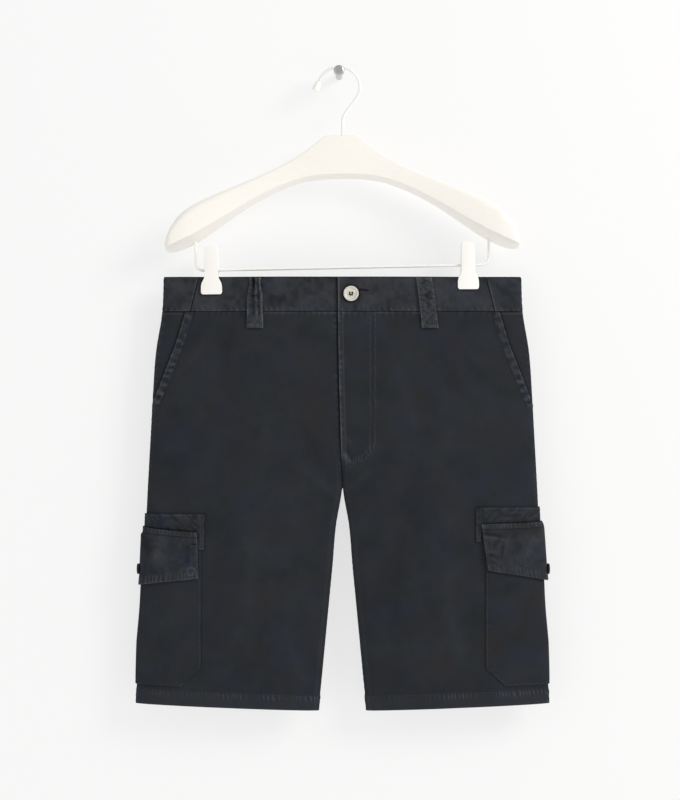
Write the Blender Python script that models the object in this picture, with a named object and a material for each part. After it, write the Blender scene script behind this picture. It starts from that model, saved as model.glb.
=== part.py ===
"""Cargo shorts clipped by the waistband to a wooden hanger that hangs on a wall peg.

Frame: +Z up, +X to the wearer's left, +Y into the wall. The origin is the centre of the
peg's flat back face, on the wall. The shorts hang in the plane y = MID_Y, flat, with the
front facing -Y. Every cloth piece is a thin wall built on one shared form: at each height
the shorts have a level outline, a flattened tube above the crotch and two below it.
Left and right are the wearer's.
"""
from collections import namedtuple
from math import cos, exp, hypot, pi, radians, sin, sqrt

import bmesh
import bpy
from mathutils import Vector

# ---- driving dimensions, in metres ------------------------------------------------
MID_Y = -0.036            # plane the shorts and the hanger hang in
CENTRE_X = 0.0042         # middle of the shorts, a little off the peg's axis
WAIST_Z = -0.246          # top edge of the waistband
HALF_SEAM = 0.00015       # half of the 0.3 mm gap between two pieces at a seam
SEAM = 0.0003

CLOTH = 0.0012            # one layer of twill
HEM_CLOTH = 0.0024        # the turned-up hem is twice as thick
BAND_CLOTH = 0.0024       # the waistband is doubled
BAND_PROUD = 0.0004       # how far the waistband stands out past the panels
BAND_DEPTH = 0.0412       # height of the waistband
CROTCH_Z = -0.252         # all heights of the shorts are below the top edge
SPLIT_Z = -0.185          # where the front starts to dip towards the crotch
HEM_Z = -0.5198           # inner corner of the hem
HEM_FOLD_Z = -0.5045
HEM_RISE = 0.0090         # the hem is this much higher at the side seam
HEM_RISE_FROM = -0.400

Level = namedtuple("Level", "z side inseam front back")
LEVELS = (                # height, side seam, inseam, depth of the front and of the back
    Level(0.000, 0.2142, 0.0000, 0.0100, 0.0095),
    Level(-0.041, 0.2160, 0.0000, 0.0112, 0.0110),
    Level(-0.090, 0.2238, 0.0000, 0.0136, 0.0150),
    Level(-0.140, 0.2274, 0.0000, 0.0152, 0.0180),
    Level(-0.205, 0.2310, 0.0000, 0.0160, 0.0190),
    Level(-0.252, 0.2336, 0.0002, 0.0164, 0.0184),
    Level(-0.299, 0.2358, 0.0078, 0.0164, 0.0176),
    Level(-0.345, 0.2374, 0.0117, 0.0160, 0.0170),
    Level(-0.392, 0.2394, 0.0162, 0.0156, 0.0164),
    Level(-0.436, 0.2430, 0.0204, 0.0152, 0.0160),
    Level(-0.486, 0.2464, 0.0252, 0.0150, 0.0156),
    Level(-0.520, 0.2475, 0.0288, 0.0148, 0.0154),
)
FlyPoint = namedtuple("FlyPoint", "z reach")
FLY_EDGE = (              # how far the left front laps over past the middle
    FlyPoint(0.000, 0.0058),
    FlyPoint(-0.090, 0.0049),
    FlyPoint(-0.194, 0.0022),
    FlyPoint(CROTCH_Z, 0.0000),
)
SlantPoint = namedtuple("SlantPoint", "z x")
BAND_JOIN = (SlantPoint(0.000, 0.1722), SlantPoint(-0.0415, 0.1824))
HIP_SLANT = (             # the slanted mouth of the hip pocket
    SlantPoint(-0.0415, 0.1880),
    SlantPoint(-0.078, 0.1988),
    SlantPoint(-0.110, 0.2112),
    SlantPoint(-0.152, 0.2278),
)
HIP_PARTS = (0, 0.45, 0.80, 0.94, 1)     # shares of the way across the hip pocket's piece
HIP_FIRST_MOST = 0.86     # it always starts at least this far in from the side seam
HIP_COVER_FADE = 0.030    # height over which it tucks in under the front panel
HIP_SHORT = 0.045         # share by which its covered rows stop short of the side seam
HIP_TUCK = 0.070          # share of the half width that the side piece runs under the front
HIP_BOTTOM_Z = -0.178
HIP_CLEAR = 0.0006
HIP_COVERED_Z = -0.118    # below this the front panel covers the side piece up to its seam

CLIP_X = 0.1542           # the clips press the waistband about here, each side
CLIP_AT = {"left": 0.1506, "right": -0.1570}
PINCH = 0.61              # the clips press the waistband to this share less of its depth
PINCH_WIDTH = 0.044
PINCH_BELOW = -0.020      # full down to here, and gone this much further down
PINCH_FADE = 0.050

Fold = namedtuple("Fold", "face x z half_length half_width height lean")
FOLDS = (                 # soft vertical folds of the hanging cloth; face -1 front, 1 back
    Fold(-1, -0.118, -0.130, 0.080, 0.016, 0.0016, 0.10),
    Fold(-1, -0.060, -0.330, 0.120, 0.020, -0.0018, 0.06),
    Fold(-1, 0.052, -0.085, 0.055, 0.013, 0.0015, -0.35),
    Fold(-1, 0.105, -0.300, 0.130, 0.022, 0.0018, -0.08),
    Fold(-1, -0.150, -0.420, 0.070, 0.018, 0.0014, 0.04),
    Fold(-1, 0.150, -0.440, 0.060, 0.016, -0.0014, -0.05),
    Fold(1, 0.075, -0.180, 0.090, 0.020, 0.0022, 0.12),
    Fold(1, -0.085, -0.200, 0.100, 0.022, 0.0022, -0.10),
    Fold(1, 0.120, -0.370, 0.110, 0.022, -0.0018, 0.05),
    Fold(1, -0.130, -0.340, 0.120, 0.020, 0.0018, -0.06),
)

COLUMNS = 14              # columns of each panel, closer together at its seams
PANEL_HEIGHTS = (
    -0.0415, -0.056, -0.075, -0.095, -0.115, -0.134, -0.152, -0.168, SPLIT_Z, -0.202,
    -0.218, -0.230, -0.241, CROTCH_Z, -0.264, -0.282, -0.310, -0.345, -0.385, -0.425,
    -0.465, HEM_FOLD_Z + 0.001, HEM_FOLD_Z, HEM_Z,
)

# cargo pockets: heights of their edges in front, and half widths measured from the side
POCKET_FRONT_X = 0.1690
POCKET_BACK_X = 0.1600
POCKET_TOP_Z = -0.3090
POCKET_ROWS = (-0.3300, -0.3600, -0.3950, -0.4300, -0.4600)
POCKET_BOTTOM_Z = -0.4955
POCKET_CHAMFER = 0.0240
POCKET_SLACK = 0.0024
POCKET_GAP = 0.0005
BAND_TOP_Z = -0.2835
BAND_BACK_X = POCKET_BACK_X - 0.005
BAND_FRONT_X = 0.1645
FLAP_TOP_Z = -0.3000
FLAP_TOP_RISE = 0.0050    # the flap's top line climbs towards the side seam
FLAP_BOTTOM_Z = -0.3590
FLAP_POINT = 0.0100       # the flap is this much longer at the side seam
FLAP_FRONT_X = 0.1720
FLAP_BACK_X = POCKET_BACK_X + 0.003
FLAP_ROWS = (0.0, 0.16, 0.40, 0.65, 0.85, 1.0)    # shares of the way down the flap
FLAP_GAP = 0.0008
SNAP_Z = -0.3500
SNAP_RADIUS = 0.0064
SNAP_HEIGHT = 0.0024
SNAP_PROFILE = ((0.0030, 0.0), (SNAP_RADIUS, 0.0009), (SNAP_RADIUS, 0.0014),
                (0.0052, 0.0022), (0.0026, SNAP_HEIGHT))
SNAP_STAND = 1.35         # the flap bulges this much more than its cloth at the side seam

LOOP_WIDTH = 0.0190
LOOP_BOTTOM_Z = -0.0620
LOOP_ROWS = (-0.0008, -0.0060, -0.0150, -0.0260, -0.0370, -0.0460, -0.0540)
LOOP_PARTS = (-1, -0.33, 0.33, 1)         # columns, in half widths from the loop's middle
LOOP_CLOTH = 0.0018
LOOP_SEAT = 0.0009        # clear of the panels where the loop is sewn down
LOOP_STAND = 0.0022       # and this much more in its middle
Loop = namedtuple("Loop", "name face x lean")
LOOPS = (
    Loop("belt_loop_front_left", -1, 0.0972, 0.0072),
    Loop("belt_loop_front_right", -1, -0.1044, 0.0000),
    Loop("belt_loop_back_left", 1, 0.1000, 0.0020),
    Loop("belt_loop_back_right", 1, -0.1000, -0.0020),
    Loop("belt_loop_back_middle", 1, 0.0000, 0.0000),
)

BUTTON_X = 0.0102
BUTTON_Z = -0.0204
BUTTON_RADIUS = 0.0091
BUTTON_HEIGHT = 0.0032
BUTTON_PROFILE = (        # (radius, height) from its back to its dished front
    (0.0070, 0.0), (BUTTON_RADIUS, 0.0010), (BUTTON_RADIUS, 0.0022), (0.0084, BUTTON_HEIGHT),
    (0.0074, BUTTON_HEIGHT), (0.0062, 0.0024), (0.0020, 0.0020),
)
BUTTON_HOLE = 0.0009
BUTTON_HOLE_RING = 0.0019

ZIP_TOP_Z = -0.0450
FLY_BOTTOM_Z = -0.1860
ZIP_CLOTH = 0.0009
SHIELD_TOP_Z = -0.0020

# hanger, in its own frame: x from its middle, z above the waistband's top edge
HANGER_TILT = 0.0105      # radians; the wearer's left end is a little higher
Wood = namedtuple("Wood", "x top bottom front_bottom half_depth forward top_round")
WOOD = (                  # the ends flare and lean forward, and their underside slopes
    Wood(0.0000, 0.1696, 0.1178, 0.1234, 0.0065, 0.0000, 0.0020),
    Wood(0.0180, 0.1692, 0.1174, 0.1230, 0.0065, 0.0000, 0.0020),
    Wood(0.0250, 0.1646, 0.1170, 0.1226, 0.0065, 0.0000, 0.0020),
    Wood(0.0320, 0.1588, 0.1161, 0.1218, 0.0066, 0.0000, 0.0022),
    Wood(0.0456, 0.1488, 0.1140, 0.1196, 0.0068, 0.0000, 0.0024),
    Wood(0.0700, 0.1344, 0.1060, 0.1115, 0.0076, 0.0005, 0.0030),
    Wood(0.1020, 0.1200, 0.0905, 0.0962, 0.0096, 0.0020, 0.0045),
    Wood(0.1260, 0.1098, 0.0755, 0.0822, 0.0116, 0.0040, 0.0065),
    Wood(0.1500, 0.0998, 0.0586, 0.0675, 0.0140, 0.0065, 0.0085),
    Wood(0.1770, 0.0868, 0.0412, 0.0517, 0.0170, 0.0090, 0.0105),
    Wood(0.1920, 0.0763, 0.0350, 0.0444, 0.0182, 0.0100, 0.0115),
    Wood(0.2035, 0.0610, 0.0318, 0.0392, 0.0180, 0.0104, 0.0100),
    Wood(0.2090, 0.0490, 0.0316, 0.0372, 0.0160, 0.0104, 0.0060),
    Wood(0.2112, 0.0420, 0.0330, 0.0368, 0.0125, 0.0100, 0.0030),
)
WOOD_EDGE = 0.0013        # rounding of the wood's lower edges
WIRE = 0.00175            # radius of the hook's wire
HOOK_RADIUS = 0.0250
HOOK_END_ANGLE = radians(155)
HOOK_CAP_LENGTH = 0.0130
HOOK_CAP_RADIUS = 0.0042
HOOK_CAP_PROFILE = ((0.0024, 0.0), (0.0031, 0.0006), (HOOK_CAP_RADIUS, 0.0075),
                    (HOOK_CAP_RADIUS, HOOK_CAP_LENGTH - 0.0020), (0.0026, HOOK_CAP_LENGTH))
HOOK_CAP_GRIP = 0.0020    # straight wire before the cap
STEM_X = 0.0018           # the hook's stem stands this far off the wood's middle
STEM_LENGTH = 0.0160
STEM_LEAD = 0.0150        # how softly the wire bends out of the stem and into the bow
STEM_TRAIL = 0.0160
BAR_WIRE = 0.0016
BAR_X = 0.1758
BAR_Z = 0.0112            # height of the bar above the waistband
BAR_SLOPE = 0.0016        # its ends are this much above and below that
BAR_BEND = 0.0095
BAR_STRAIGHT = 0.006      # straight wire above each bend
CLIP_PLATE = 0.0020
CLIP_HINGE = 0.0036
HINGE_HALF = 0.0070       # half the hinge's length along the bar
PEG_RADIUS = 0.0040
PEG_KNOB = 0.0064
PEG_LENGTH = 0.0500
PEG_KNOB_FROM = 0.0425
PEG_PROFILE = (           # (radius, distance from the wall)
    (PEG_RADIUS, 0.0), (PEG_RADIUS, PEG_KNOB_FROM - 0.001), (PEG_KNOB - 0.0006, PEG_KNOB_FROM),
    (PEG_KNOB, PEG_KNOB_FROM + 0.0014), (PEG_KNOB, PEG_LENGTH - 0.0016),
    (PEG_KNOB - 0.0010, PEG_LENGTH - 0.0004), (PEG_KNOB - 0.0024, PEG_LENGTH),
)

DYED_TWILL = ("garment_dyed_twill", "#2b2f34", 0.92, 0.0)
ZIP_TAPE = ("woven_zip_tape", "#1e2124", 0.80, 0.0)
HORN = ("polished_corozo", "#c9c6bc", 0.35, 0.0)
BLACK_METAL = ("blackened_snap", "#17181a", 0.45, 0.6)
WHITE_WOOD = ("lacquered_wood", "#f7f4ec", 0.45, 0.0)
WHITE_PLASTIC = ("white_plastic", "#f4f3f0", 0.40, 0.0)
COATED_WIRE = ("white_coated_wire", "#eeeeec", 0.35, 0.2)
PEG_METAL = ("brushed_peg_steel", "#b9b9b8", 0.35, 1.0)

GARMENT_AT = Vector((CENTRE_X, MID_Y, WAIST_Z))


# ---- small tools -------------------------------------------------------------------
def linear_colour(hex_code):
    """Turn an sRGB hex code into linear RGBA."""
    values = [int(hex_code[i:i + 2], 16) / 255 for i in (1, 3, 5)]
    linear = [v / 12.92 if v <= 0.04045 else ((v + 0.055) / 1.055) ** 2.4 for v in values]
    return (*linear, 1.0)


def material(spec):
    name, hex_code, roughness, metallic = spec
    found = bpy.data.materials.get(name)
    if found:
        return found
    made = bpy.data.materials.new(name)
    made.use_nodes = True
    shader = made.node_tree.nodes["Principled BSDF"]
    shader.inputs["Base Color"].default_value = linear_colour(hex_code)
    shader.inputs["Roughness"].default_value = roughness
    shader.inputs["Metallic"].default_value = metallic
    made.diffuse_color = linear_colour(hex_code)
    return made


def add_object(name, data, spec, location=(0, 0, 0), parent=None):
    """Give each sub-part an object of its own, with a material of its own."""
    made = bpy.data.objects.new(name, data)
    bpy.context.scene.collection.objects.link(made)
    data.materials.append(material(spec))
    made.location = location
    made.parent = parent
    return made


def mesh_from(name, points, faces, smooth_angle=radians(40)):
    mesh = bpy.data.meshes.new(name)
    mesh.from_pydata([tuple(p) for p in points], [], faces)
    build = bmesh.new()
    build.from_mesh(mesh)
    bmesh.ops.recalc_face_normals(build, faces=build.faces)
    build.to_mesh(mesh)
    build.free()
    mesh.shade_smooth()
    mesh.set_sharp_from_angle(angle=smooth_angle)
    return mesh


def between(table, z, column):
    """Read a column of a table at height z, joined by smooth curves."""
    if z >= table[0].z:
        return getattr(table[0], column)
    if z <= table[-1].z:
        return getattr(table[-1], column)
    place = next(i for i in range(1, len(table)) if table[i].z <= z)
    above, below = table[place - 1], table[place]
    before = table[max(place - 2, 0)]
    after = table[min(place + 1, len(table) - 1)]
    share = (above.z - z) / (above.z - below.z)
    high, low = getattr(above, column), getattr(below, column)
    span = above.z - below.z
    start = (low - getattr(before, column)) / (before.z - below.z) * span
    end = (getattr(after, column) - high) / (above.z - after.z) * span
    cube, square = share ** 3, share ** 2
    return ((2 * cube - 3 * square + 1) * high + (cube - 2 * square + share) * start
            + (3 * square - 2 * cube) * low + (cube - square) * end)


def smooth_step(value):
    value = min(max(value, 0.0), 1.0)
    return value * value * (3 - 2 * value)


# ---- the shorts' form --------------------------------------------------------------
def leg_share(z):
    """0 where the shorts are one tube, 1 from the crotch down, where they are two."""
    return smooth_step((SPLIT_Z - z) / (SPLIT_Z - CROTCH_Z))


def inner_edge(side, face, z, gap=HALF_SEAM):
    """Distance from the middle to a panel's centre seam or, below the crotch, its inseam."""
    if z < CROTCH_Z:
        return max(between(LEVELS, z, "inseam"), 0.0002) + gap
    lap = between(FLY_EDGE, z, "reach") if face < 0 else 0.0
    return gap - side * lap


def share_at(side, face, x, z):
    """Share of the way from the inner edge to the side seam at distance x from the middle."""
    inner = inner_edge(side, face, z)
    return (x - inner) / (between(LEVELS, z, "side") - inner)


def fold_height(face, x, z):
    total = 0.0
    for fold in FOLDS:
        if fold.face != face:
            continue
        along = (z - fold.z) / fold.half_length
        across = (x - fold.x - fold.lean * (z - fold.z)) / fold.half_width
        total += fold.height * exp(-along * along - across * across)
    return total


def form_point(side, face, share, z, gap=HALF_SEAM):
    """A point of the outside of the shorts.

    side 1 is the wearer's left, face -1 the front, share 0 the centre seam or inseam and
    share 1 the side seam.
    """
    inner = inner_edge(side, face, z, gap)
    across = inner + (between(LEVELS, z, "side") - inner) * share
    pressed = PINCH * exp(-((across - CLIP_X) / PINCH_WIDTH) ** 2)
    pressed *= 1 - smooth_step((PINCH_BELOW - z) / PINCH_FADE)
    depth = between(LEVELS, z, "front" if face < 0 else "back") * (1 - pressed)
    depth += fold_height(face, side * across, z)
    round_side = sqrt(max(1 - share ** 3, 0.0))
    round_inner = 1 - leg_share(z) * (1 - sqrt(max(1 - (1 - share) ** 3, 0.0)))
    rise = HEM_RISE * smooth_step((HEM_RISE_FROM - z) / (HEM_RISE_FROM - HEM_Z)) * share
    return Vector((side * across, face * (gap + depth * round_side * round_inner), z + rise))


def outward_steps(row, start=None, end=None):
    """For each point of a level row, the sideways step that thickens the wall by one unit.

    The row runs anticlockwise as seen from above. start and end are the directions that
    the wall's own ends keep to at a seam.
    """
    normals = []
    for here, there in zip(row, row[1:]):
        length = hypot(there.x - here.x, there.y - here.y)
        normals.append(Vector(((there.y - here.y) / length, (here.x - there.x) / length, 0)))
    steps = []
    for place in range(len(row)):
        before = normals[max(place - 1, 0)]
        after = normals[min(place, len(normals) - 1)]
        direction = (before + after).normalized()
        if place == 0 and start is not None:
            direction = start
        if place == len(row) - 1 and end is not None:
            direction = end
        steps.append(direction / max(direction.dot(after), 0.55))
    return steps


def wall(name, rows, steps, low, high, spec=DYED_TWILL):
    """A closed cloth wall between two distances from the form, low inside high.

    low and high are functions of the row and column, or plain distances.
    """
    count, width = len(rows), len(rows[0])

    def distance(value, r, c):
        return value(r, c) if callable(value) else value

    outside = [rows[r][c] + steps[r][c] * distance(high, r, c)
               for r in range(count) for c in range(width)]
    inside = [rows[r][c] + steps[r][c] * distance(low, r, c)
              for r in range(count) for c in range(width)]
    size = count * width
    faces = []
    for r in range(count - 1):
        for c in range(width - 1):
            a, b = r * width + c, r * width + c + 1
            d, e = a + width, b + width
            faces.append((a, d, e, b))
            faces.append((a + size, b + size, e + size, d + size))
    rim = [r * width for r in range(count)]
    rim += [(count - 1) * width + c for c in range(1, width)]
    rim += [r * width + width - 1 for r in range(count - 2, -1, -1)]
    rim += [c for c in range(width - 2, 0, -1)]
    for a, b in zip(rim, rim[1:] + rim[:1]):
        faces.append((a, b, b + size, a + size))
    mesh = mesh_from(name, outside + inside, faces)
    return add_object(name, mesh, spec, GARMENT_AT)


# ---- panels ------------------------------------------------------------------------
PANEL_SHARES = [(1 - cos(pi * i / COLUMNS)) / 2 for i in range(COLUMNS + 1)]
FIXED = 9                 # columns past this one squeeze up to the hip pocket's mouth


def slant_share(side, z):
    """Share at which the front panel ends: the pocket mouth, then the side seam."""
    if z <= HIP_SLANT[-1].z:
        return 1.0
    return min(share_at(side, -1, between(HIP_SLANT, z, "x"), z), 1.0)


def panel_shares(side, face, z):
    limit = slant_share(side, z) if face < 0 else 1.0
    last = PANEL_SHARES[FIXED]
    return [g if i <= FIXED else last + (limit - last) * (g - last) / (1 - last)
            for i, g in enumerate(PANEL_SHARES)]


def ordered(side, face, values):
    """Rows run anticlockwise as seen from above."""
    return list(values) if side * face < 0 else list(reversed(values))


def seam_direction(side, face, z):
    """The direction that a panel's inner edge keeps to: forward above, sideways below."""
    share = leg_share(z)
    return Vector((-side * share, face * (1 - share), 0)).normalized()


def panel(name, side, face):
    rows, steps = [], []
    for z in PANEL_HEIGHTS:
        shares = panel_shares(side, face, z)
        row = ordered(side, face, [form_point(side, face, g, z) for g in shares])
        inner = seam_direction(side, face, z)
        outer = Vector((side, 0, 0)) if shares[-1] > 0.999 else None
        ends = (inner, outer) if side * face < 0 else (outer, inner)
        rows.append(row)
        steps.append(outward_steps(row, *ends))
    hem_row = PANEL_HEIGHTS.index(HEM_FOLD_Z)
    return wall(name, rows, steps, lambda r, c: -HEM_CLOTH if r >= hem_row else -CLOTH, 0.0)


def hip_pocket(name, side):
    """The side piece behind the slanted mouth; it runs under the front panel.

    Where the front panel covers it, it ends just short of the side seam.
    """
    heights = [z for z in PANEL_HEIGHTS if z > HIP_BOTTOM_Z] + [HIP_BOTTOM_Z]
    covered = [smooth_step((HIP_COVERED_Z - z) / HIP_COVER_FADE) for z in heights]
    under = CLOTH + HIP_CLEAR
    rows, steps = [], []
    for z, cover in zip(heights, covered):
        first = min(slant_share(side, z) - HIP_TUCK, HIP_FIRST_MOST)
        last = 1 - HIP_SHORT * cover
        shares = [first + (last - first) * part for part in HIP_PARTS]
        row = ordered(side, -1, [form_point(side, -1, g, z) for g in shares])
        outer = None if cover else Vector((side, 0, 0))
        rows.append(row)
        steps.append(outward_steps(row, *((None, outer) if side > 0 else (outer, None))))
    seam_column = len(HIP_PARTS) - 1 if side > 0 else 0

    def top(r, c):
        return 0.0 if c == seam_column and not covered[r] else -under

    return wall(name, rows, steps, lambda r, c: top(r, c) - CLOTH, top)


# ---- waistband and fly -------------------------------------------------------------
BAND_HEIGHTS = [-BAND_DEPTH * i / 3 for i in range(4)]
BAND_COLUMNS = 12
BAND_ROUND = (PANEL_SHARES[-2], 0.965, 0.93)      # close columns round the side seam
BAND_BACK_FROM = 0.86
BAND_BACK_STEP = 0.0717
BAND_BACK_COLUMNS = 12


def band_shares(side, z):
    limit = share_at(side, -1, between(BAND_JOIN, z, "x"), z)
    return [limit * i / BAND_COLUMNS for i in range(BAND_COLUMNS + 1)]


def waistband_front(name, side):
    rows, steps = [], []
    for z in BAND_HEIGHTS:
        row = ordered(side, -1, [form_point(side, -1, g, z) for g in band_shares(side, z)])
        middle = Vector((0, -1, 0))
        rows.append(row)
        steps.append(outward_steps(row, *((middle, None) if side > 0 else (None, middle))))
    return wall(name, rows, steps, BAND_PROUD - BAND_CLOTH, BAND_PROUD)


def waistband_back(name):
    """One piece that wraps both sides and ends at the joins in front."""
    rows, steps = [], []
    for z in BAND_HEIGHTS:
        limit = share_at(1, -1, between(BAND_JOIN, z, "x") + SEAM, z)
        front_shares = [limit, (limit + BAND_ROUND[-1]) / 2, *reversed(BAND_ROUND)]
        back_shares = [*BAND_ROUND] + [BAND_BACK_FROM - BAND_BACK_STEP * i
                                       for i in range(BAND_BACK_COLUMNS)]
        row = [form_point(1, -1, g, z) for g in front_shares]
        row.append(form_point(1, 1, 1.0, z, 0.0))
        row += [form_point(1, 1, g, z) for g in back_shares]
        row.append(form_point(1, 1, 0.0, z, 0.0))
        row += [form_point(-1, 1, g, z) for g in reversed(back_shares)]
        row.append(form_point(-1, 1, 1.0, z, 0.0))
        limit = share_at(-1, -1, between(BAND_JOIN, z, "x") + SEAM, z)
        front_shares = [limit, (limit + BAND_ROUND[-1]) / 2, *reversed(BAND_ROUND)]
        row += [form_point(-1, -1, g, z) for g in reversed(front_shares)]
        rows.append(row)
        steps.append(outward_steps(row))
    return wall(name, rows, steps, BAND_PROUD - BAND_CLOTH, BAND_PROUD)


def fly_strip(name, top_z, right_columns, left_columns, low, high, spec):
    """A strip behind the fly, on the fronts' own columns."""
    heights = [top_z] + [z for z in PANEL_HEIGHTS if FLY_BOTTOM_Z - 0.001 < z < top_z]
    rows, steps = [], []
    for z in heights:
        row = [form_point(-1, -1, PANEL_SHARES[i], z) for i in right_columns]
        row += [form_point(1, -1, PANEL_SHARES[i], z) for i in left_columns]
        rows.append(row)
        steps.append(outward_steps(row))
    return wall(name, rows, steps, low, high, spec)


# ---- cargo pockets -----------------------------------------------------------------
def pocket_columns(side, z, front_x, back_x):
    """Points from the pocket's front edge round the side seam to its back edge."""
    fixed = PANEL_SHARES[-4:-1]
    front = share_at(side, -1, front_x, z)
    back = share_at(side, 1, back_x, z)
    row = [form_point(side, -1, front, z), form_point(side, -1, (front + fixed[0]) / 2, z)]
    row += [form_point(side, -1, g, z) for g in fixed]
    row.append(form_point(side, 1, 1.0, z, 0.0))
    row += [form_point(side, 1, g, z) for g in reversed(fixed)]
    row += [form_point(side, 1, (back + fixed[0]) / 2, z), form_point(side, 1, back, z)]
    return row if side > 0 else list(reversed(row))


POCKET_MIDDLE = 5         # the column on the side seam


def seam_nearness(column):
    """1 on the side seam, 0 at the pocket's front and back edges."""
    return 1 - abs(column - POCKET_MIDDLE) / POCKET_MIDDLE


def slack(column, rows_from_edge):
    """How far the pocket's cloth stands off the leg, away from its sewn edges."""
    across = sin(pi * column / (2 * POCKET_MIDDLE)) ** 0.5 if 0 < column < 10 else 0.0
    return POCKET_SLACK * across * min(rows_from_edge, 1.0)


def cargo_pocket(name, side):
    chamfer_z = POCKET_BOTTOM_Z + POCKET_CHAMFER
    heights = [POCKET_TOP_Z, *POCKET_ROWS, chamfer_z, POCKET_BOTTOM_Z + 0.6 * POCKET_CHAMFER,
               POCKET_BOTTOM_Z + 0.2 * POCKET_CHAMFER, POCKET_BOTTOM_Z]
    rows, steps = [], []
    for z in heights:
        cut = max(chamfer_z - z, 0.0)
        row = pocket_columns(side, z, POCKET_FRONT_X + cut, POCKET_BACK_X + cut)
        rows.append(row)
        steps.append(outward_steps(row))

    def low(r, c):
        return POCKET_GAP + slack(c, (len(heights) - 1 - r) / 3)

    return wall(name, rows, steps, low, lambda r, c: low(r, c) + CLOTH)


def flap_top(column):
    return FLAP_TOP_Z + FLAP_TOP_RISE * seam_nearness(column)


def cargo_band(name, side):
    """The strip sewn on above the flap."""
    rows, steps = [], []
    for step in (0.0, 1.0):
        row = []
        for column in range(2 * POCKET_MIDDLE + 1):
            z = BAND_TOP_Z + step * (flap_top(column) + SEAM - BAND_TOP_Z)
            row.append(pocket_columns(side, z, BAND_FRONT_X, BAND_BACK_X)[column])
        rows.append(row)
        steps.append(outward_steps(row))
    return wall(name, rows, steps, POCKET_GAP, POCKET_GAP + CLOTH)


def cargo_flap(name, side):
    rows, steps = [], []
    for step in FLAP_ROWS:
        row = []
        for column in range(2 * POCKET_MIDDLE + 1):
            bottom = FLAP_BOTTOM_Z - FLAP_POINT * seam_nearness(column)
            z = flap_top(column) + step * (bottom - flap_top(column))
            row.append(pocket_columns(side, z, FLAP_FRONT_X, FLAP_BACK_X)[column])
        rows.append(row)
        steps.append(outward_steps(row))
    over = POCKET_GAP + CLOTH + FLAP_GAP

    def low(r, c):
        """Sewn down along its top edge, over the pocket from there on."""
        way_down = min(FLAP_ROWS[r] / FLAP_ROWS[1], 1.0)
        return POCKET_GAP + (over - POCKET_GAP + slack(c, 1.0)) * way_down

    return wall(name, rows, steps, low, lambda r, c: low(r, c) + CLOTH)


# ---- belt loops --------------------------------------------------------------------
def belt_loop(loop):
    """A strip sewn down at the waistband's top edge and below its seam."""
    heights = [*LOOP_ROWS, LOOP_BOTTOM_Z]
    rows, steps = [], []
    for z in heights:
        middle = loop.x + loop.lean * z / LOOP_BOTTOM_Z
        row = []
        for part in LOOP_PARTS:
            x = middle + part * LOOP_WIDTH / 2
            side = 1 if x >= 0 else -1
            row.append(form_point(side, loop.face, share_at(side, loop.face, abs(x), z), z))
        if loop.face > 0:
            row.reverse()
        rows.append(row)
        steps.append(outward_steps(row))

    def low(r, c):
        share = heights[r] / LOOP_BOTTOM_Z
        return LOOP_SEAT + LOOP_STAND * sin(pi * share)

    return wall(loop.name, rows, steps, low, lambda r, c: low(r, c) + LOOP_CLOTH)


# ---- turned pieces -----------------------------------------------------------------
def turned(name, profile, sides, spec, location, axis, parent=None):
    """A solid turned about an axis from (radius, height) pairs, from its back to its front."""
    points, faces = [], []
    for radius, height in profile:
        for i in range(sides):
            angle = 2 * pi * i / sides
            points.append((radius * cos(angle), radius * sin(angle), height))
    for ring in range(len(profile) - 1):
        for i in range(sides):
            a, b = ring * sides + i, ring * sides + (i + 1) % sides
            faces.append((a, b, b + sides, a + sides))
    faces.append(tuple(reversed(range(sides))))
    faces.append(tuple(range((len(profile) - 1) * sides, len(profile) * sides)))
    made = add_object(name, mesh_from(name, points, faces), spec, location, parent)
    made.rotation_euler = Vector(axis).to_track_quat("Z", "Y").to_euler()
    return made


def waist_button():
    """A dished four-hole button with a raised rim, on the lapped end of the waistband."""
    face = form_point(1, -1, share_at(1, -1, BUTTON_X, BUTTON_Z), BUTTON_Z)
    back = GARMENT_AT + face + Vector((0, -BAND_PROUD - 2 * SEAM, 0))
    made = turned("waist_button", BUTTON_PROFILE, 28, HORN, back, (0, -1, 0))
    cutters = bmesh.new()
    for i in range(4):
        angle = pi / 4 + i * pi / 2
        ends = bmesh.ops.create_cone(cutters, cap_ends=True, segments=8, radius1=BUTTON_HOLE,
                                     radius2=BUTTON_HOLE, depth=0.012)
        shift = Vector((BUTTON_HOLE_RING * cos(angle), BUTTON_HOLE_RING * sin(angle), 0))
        bmesh.ops.translate(cutters, verts=ends["verts"], vec=shift)
    mesh = bpy.data.meshes.new("button_hole_cutter")
    cutters.to_mesh(mesh)
    cutters.free()
    cutter = add_object("button_hole_cutter", mesh, HORN, made.location)
    cutter.rotation_euler = made.rotation_euler
    cutter.hide_render = True
    cutter.display_type = "WIRE"
    cut = made.modifiers.new("holes", "BOOLEAN")
    cut.operation = "DIFFERENCE"
    cut.solver = "EXACT"
    cut.object = cutter


def flap_snap(name, side):
    """A blackened snap cap on the flap's point, facing sideways."""
    flap = POCKET_GAP + CLOTH + FLAP_GAP + POCKET_SLACK + CLOTH
    reach = between(LEVELS, SNAP_Z, "side") + flap * SNAP_STAND
    location = GARMENT_AT + Vector((side * (reach + SEAM), 0, SNAP_Z))
    turned(name, SNAP_PROFILE, 20, BLACK_METAL, location, (side, 0, 0))


# ---- hanger, hook, bar, clips and peg ----------------------------------------------
def wood_at(x):
    """The wood's section at distance x from its middle."""
    for near, far in zip(WOOD, WOOD[1:]):
        if near.x <= x <= far.x:
            share = (x - near.x) / (far.x - near.x)
            return Wood(*(a + (b - a) * share for a, b in zip(near, far)))
    return WOOD[-1]


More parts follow.
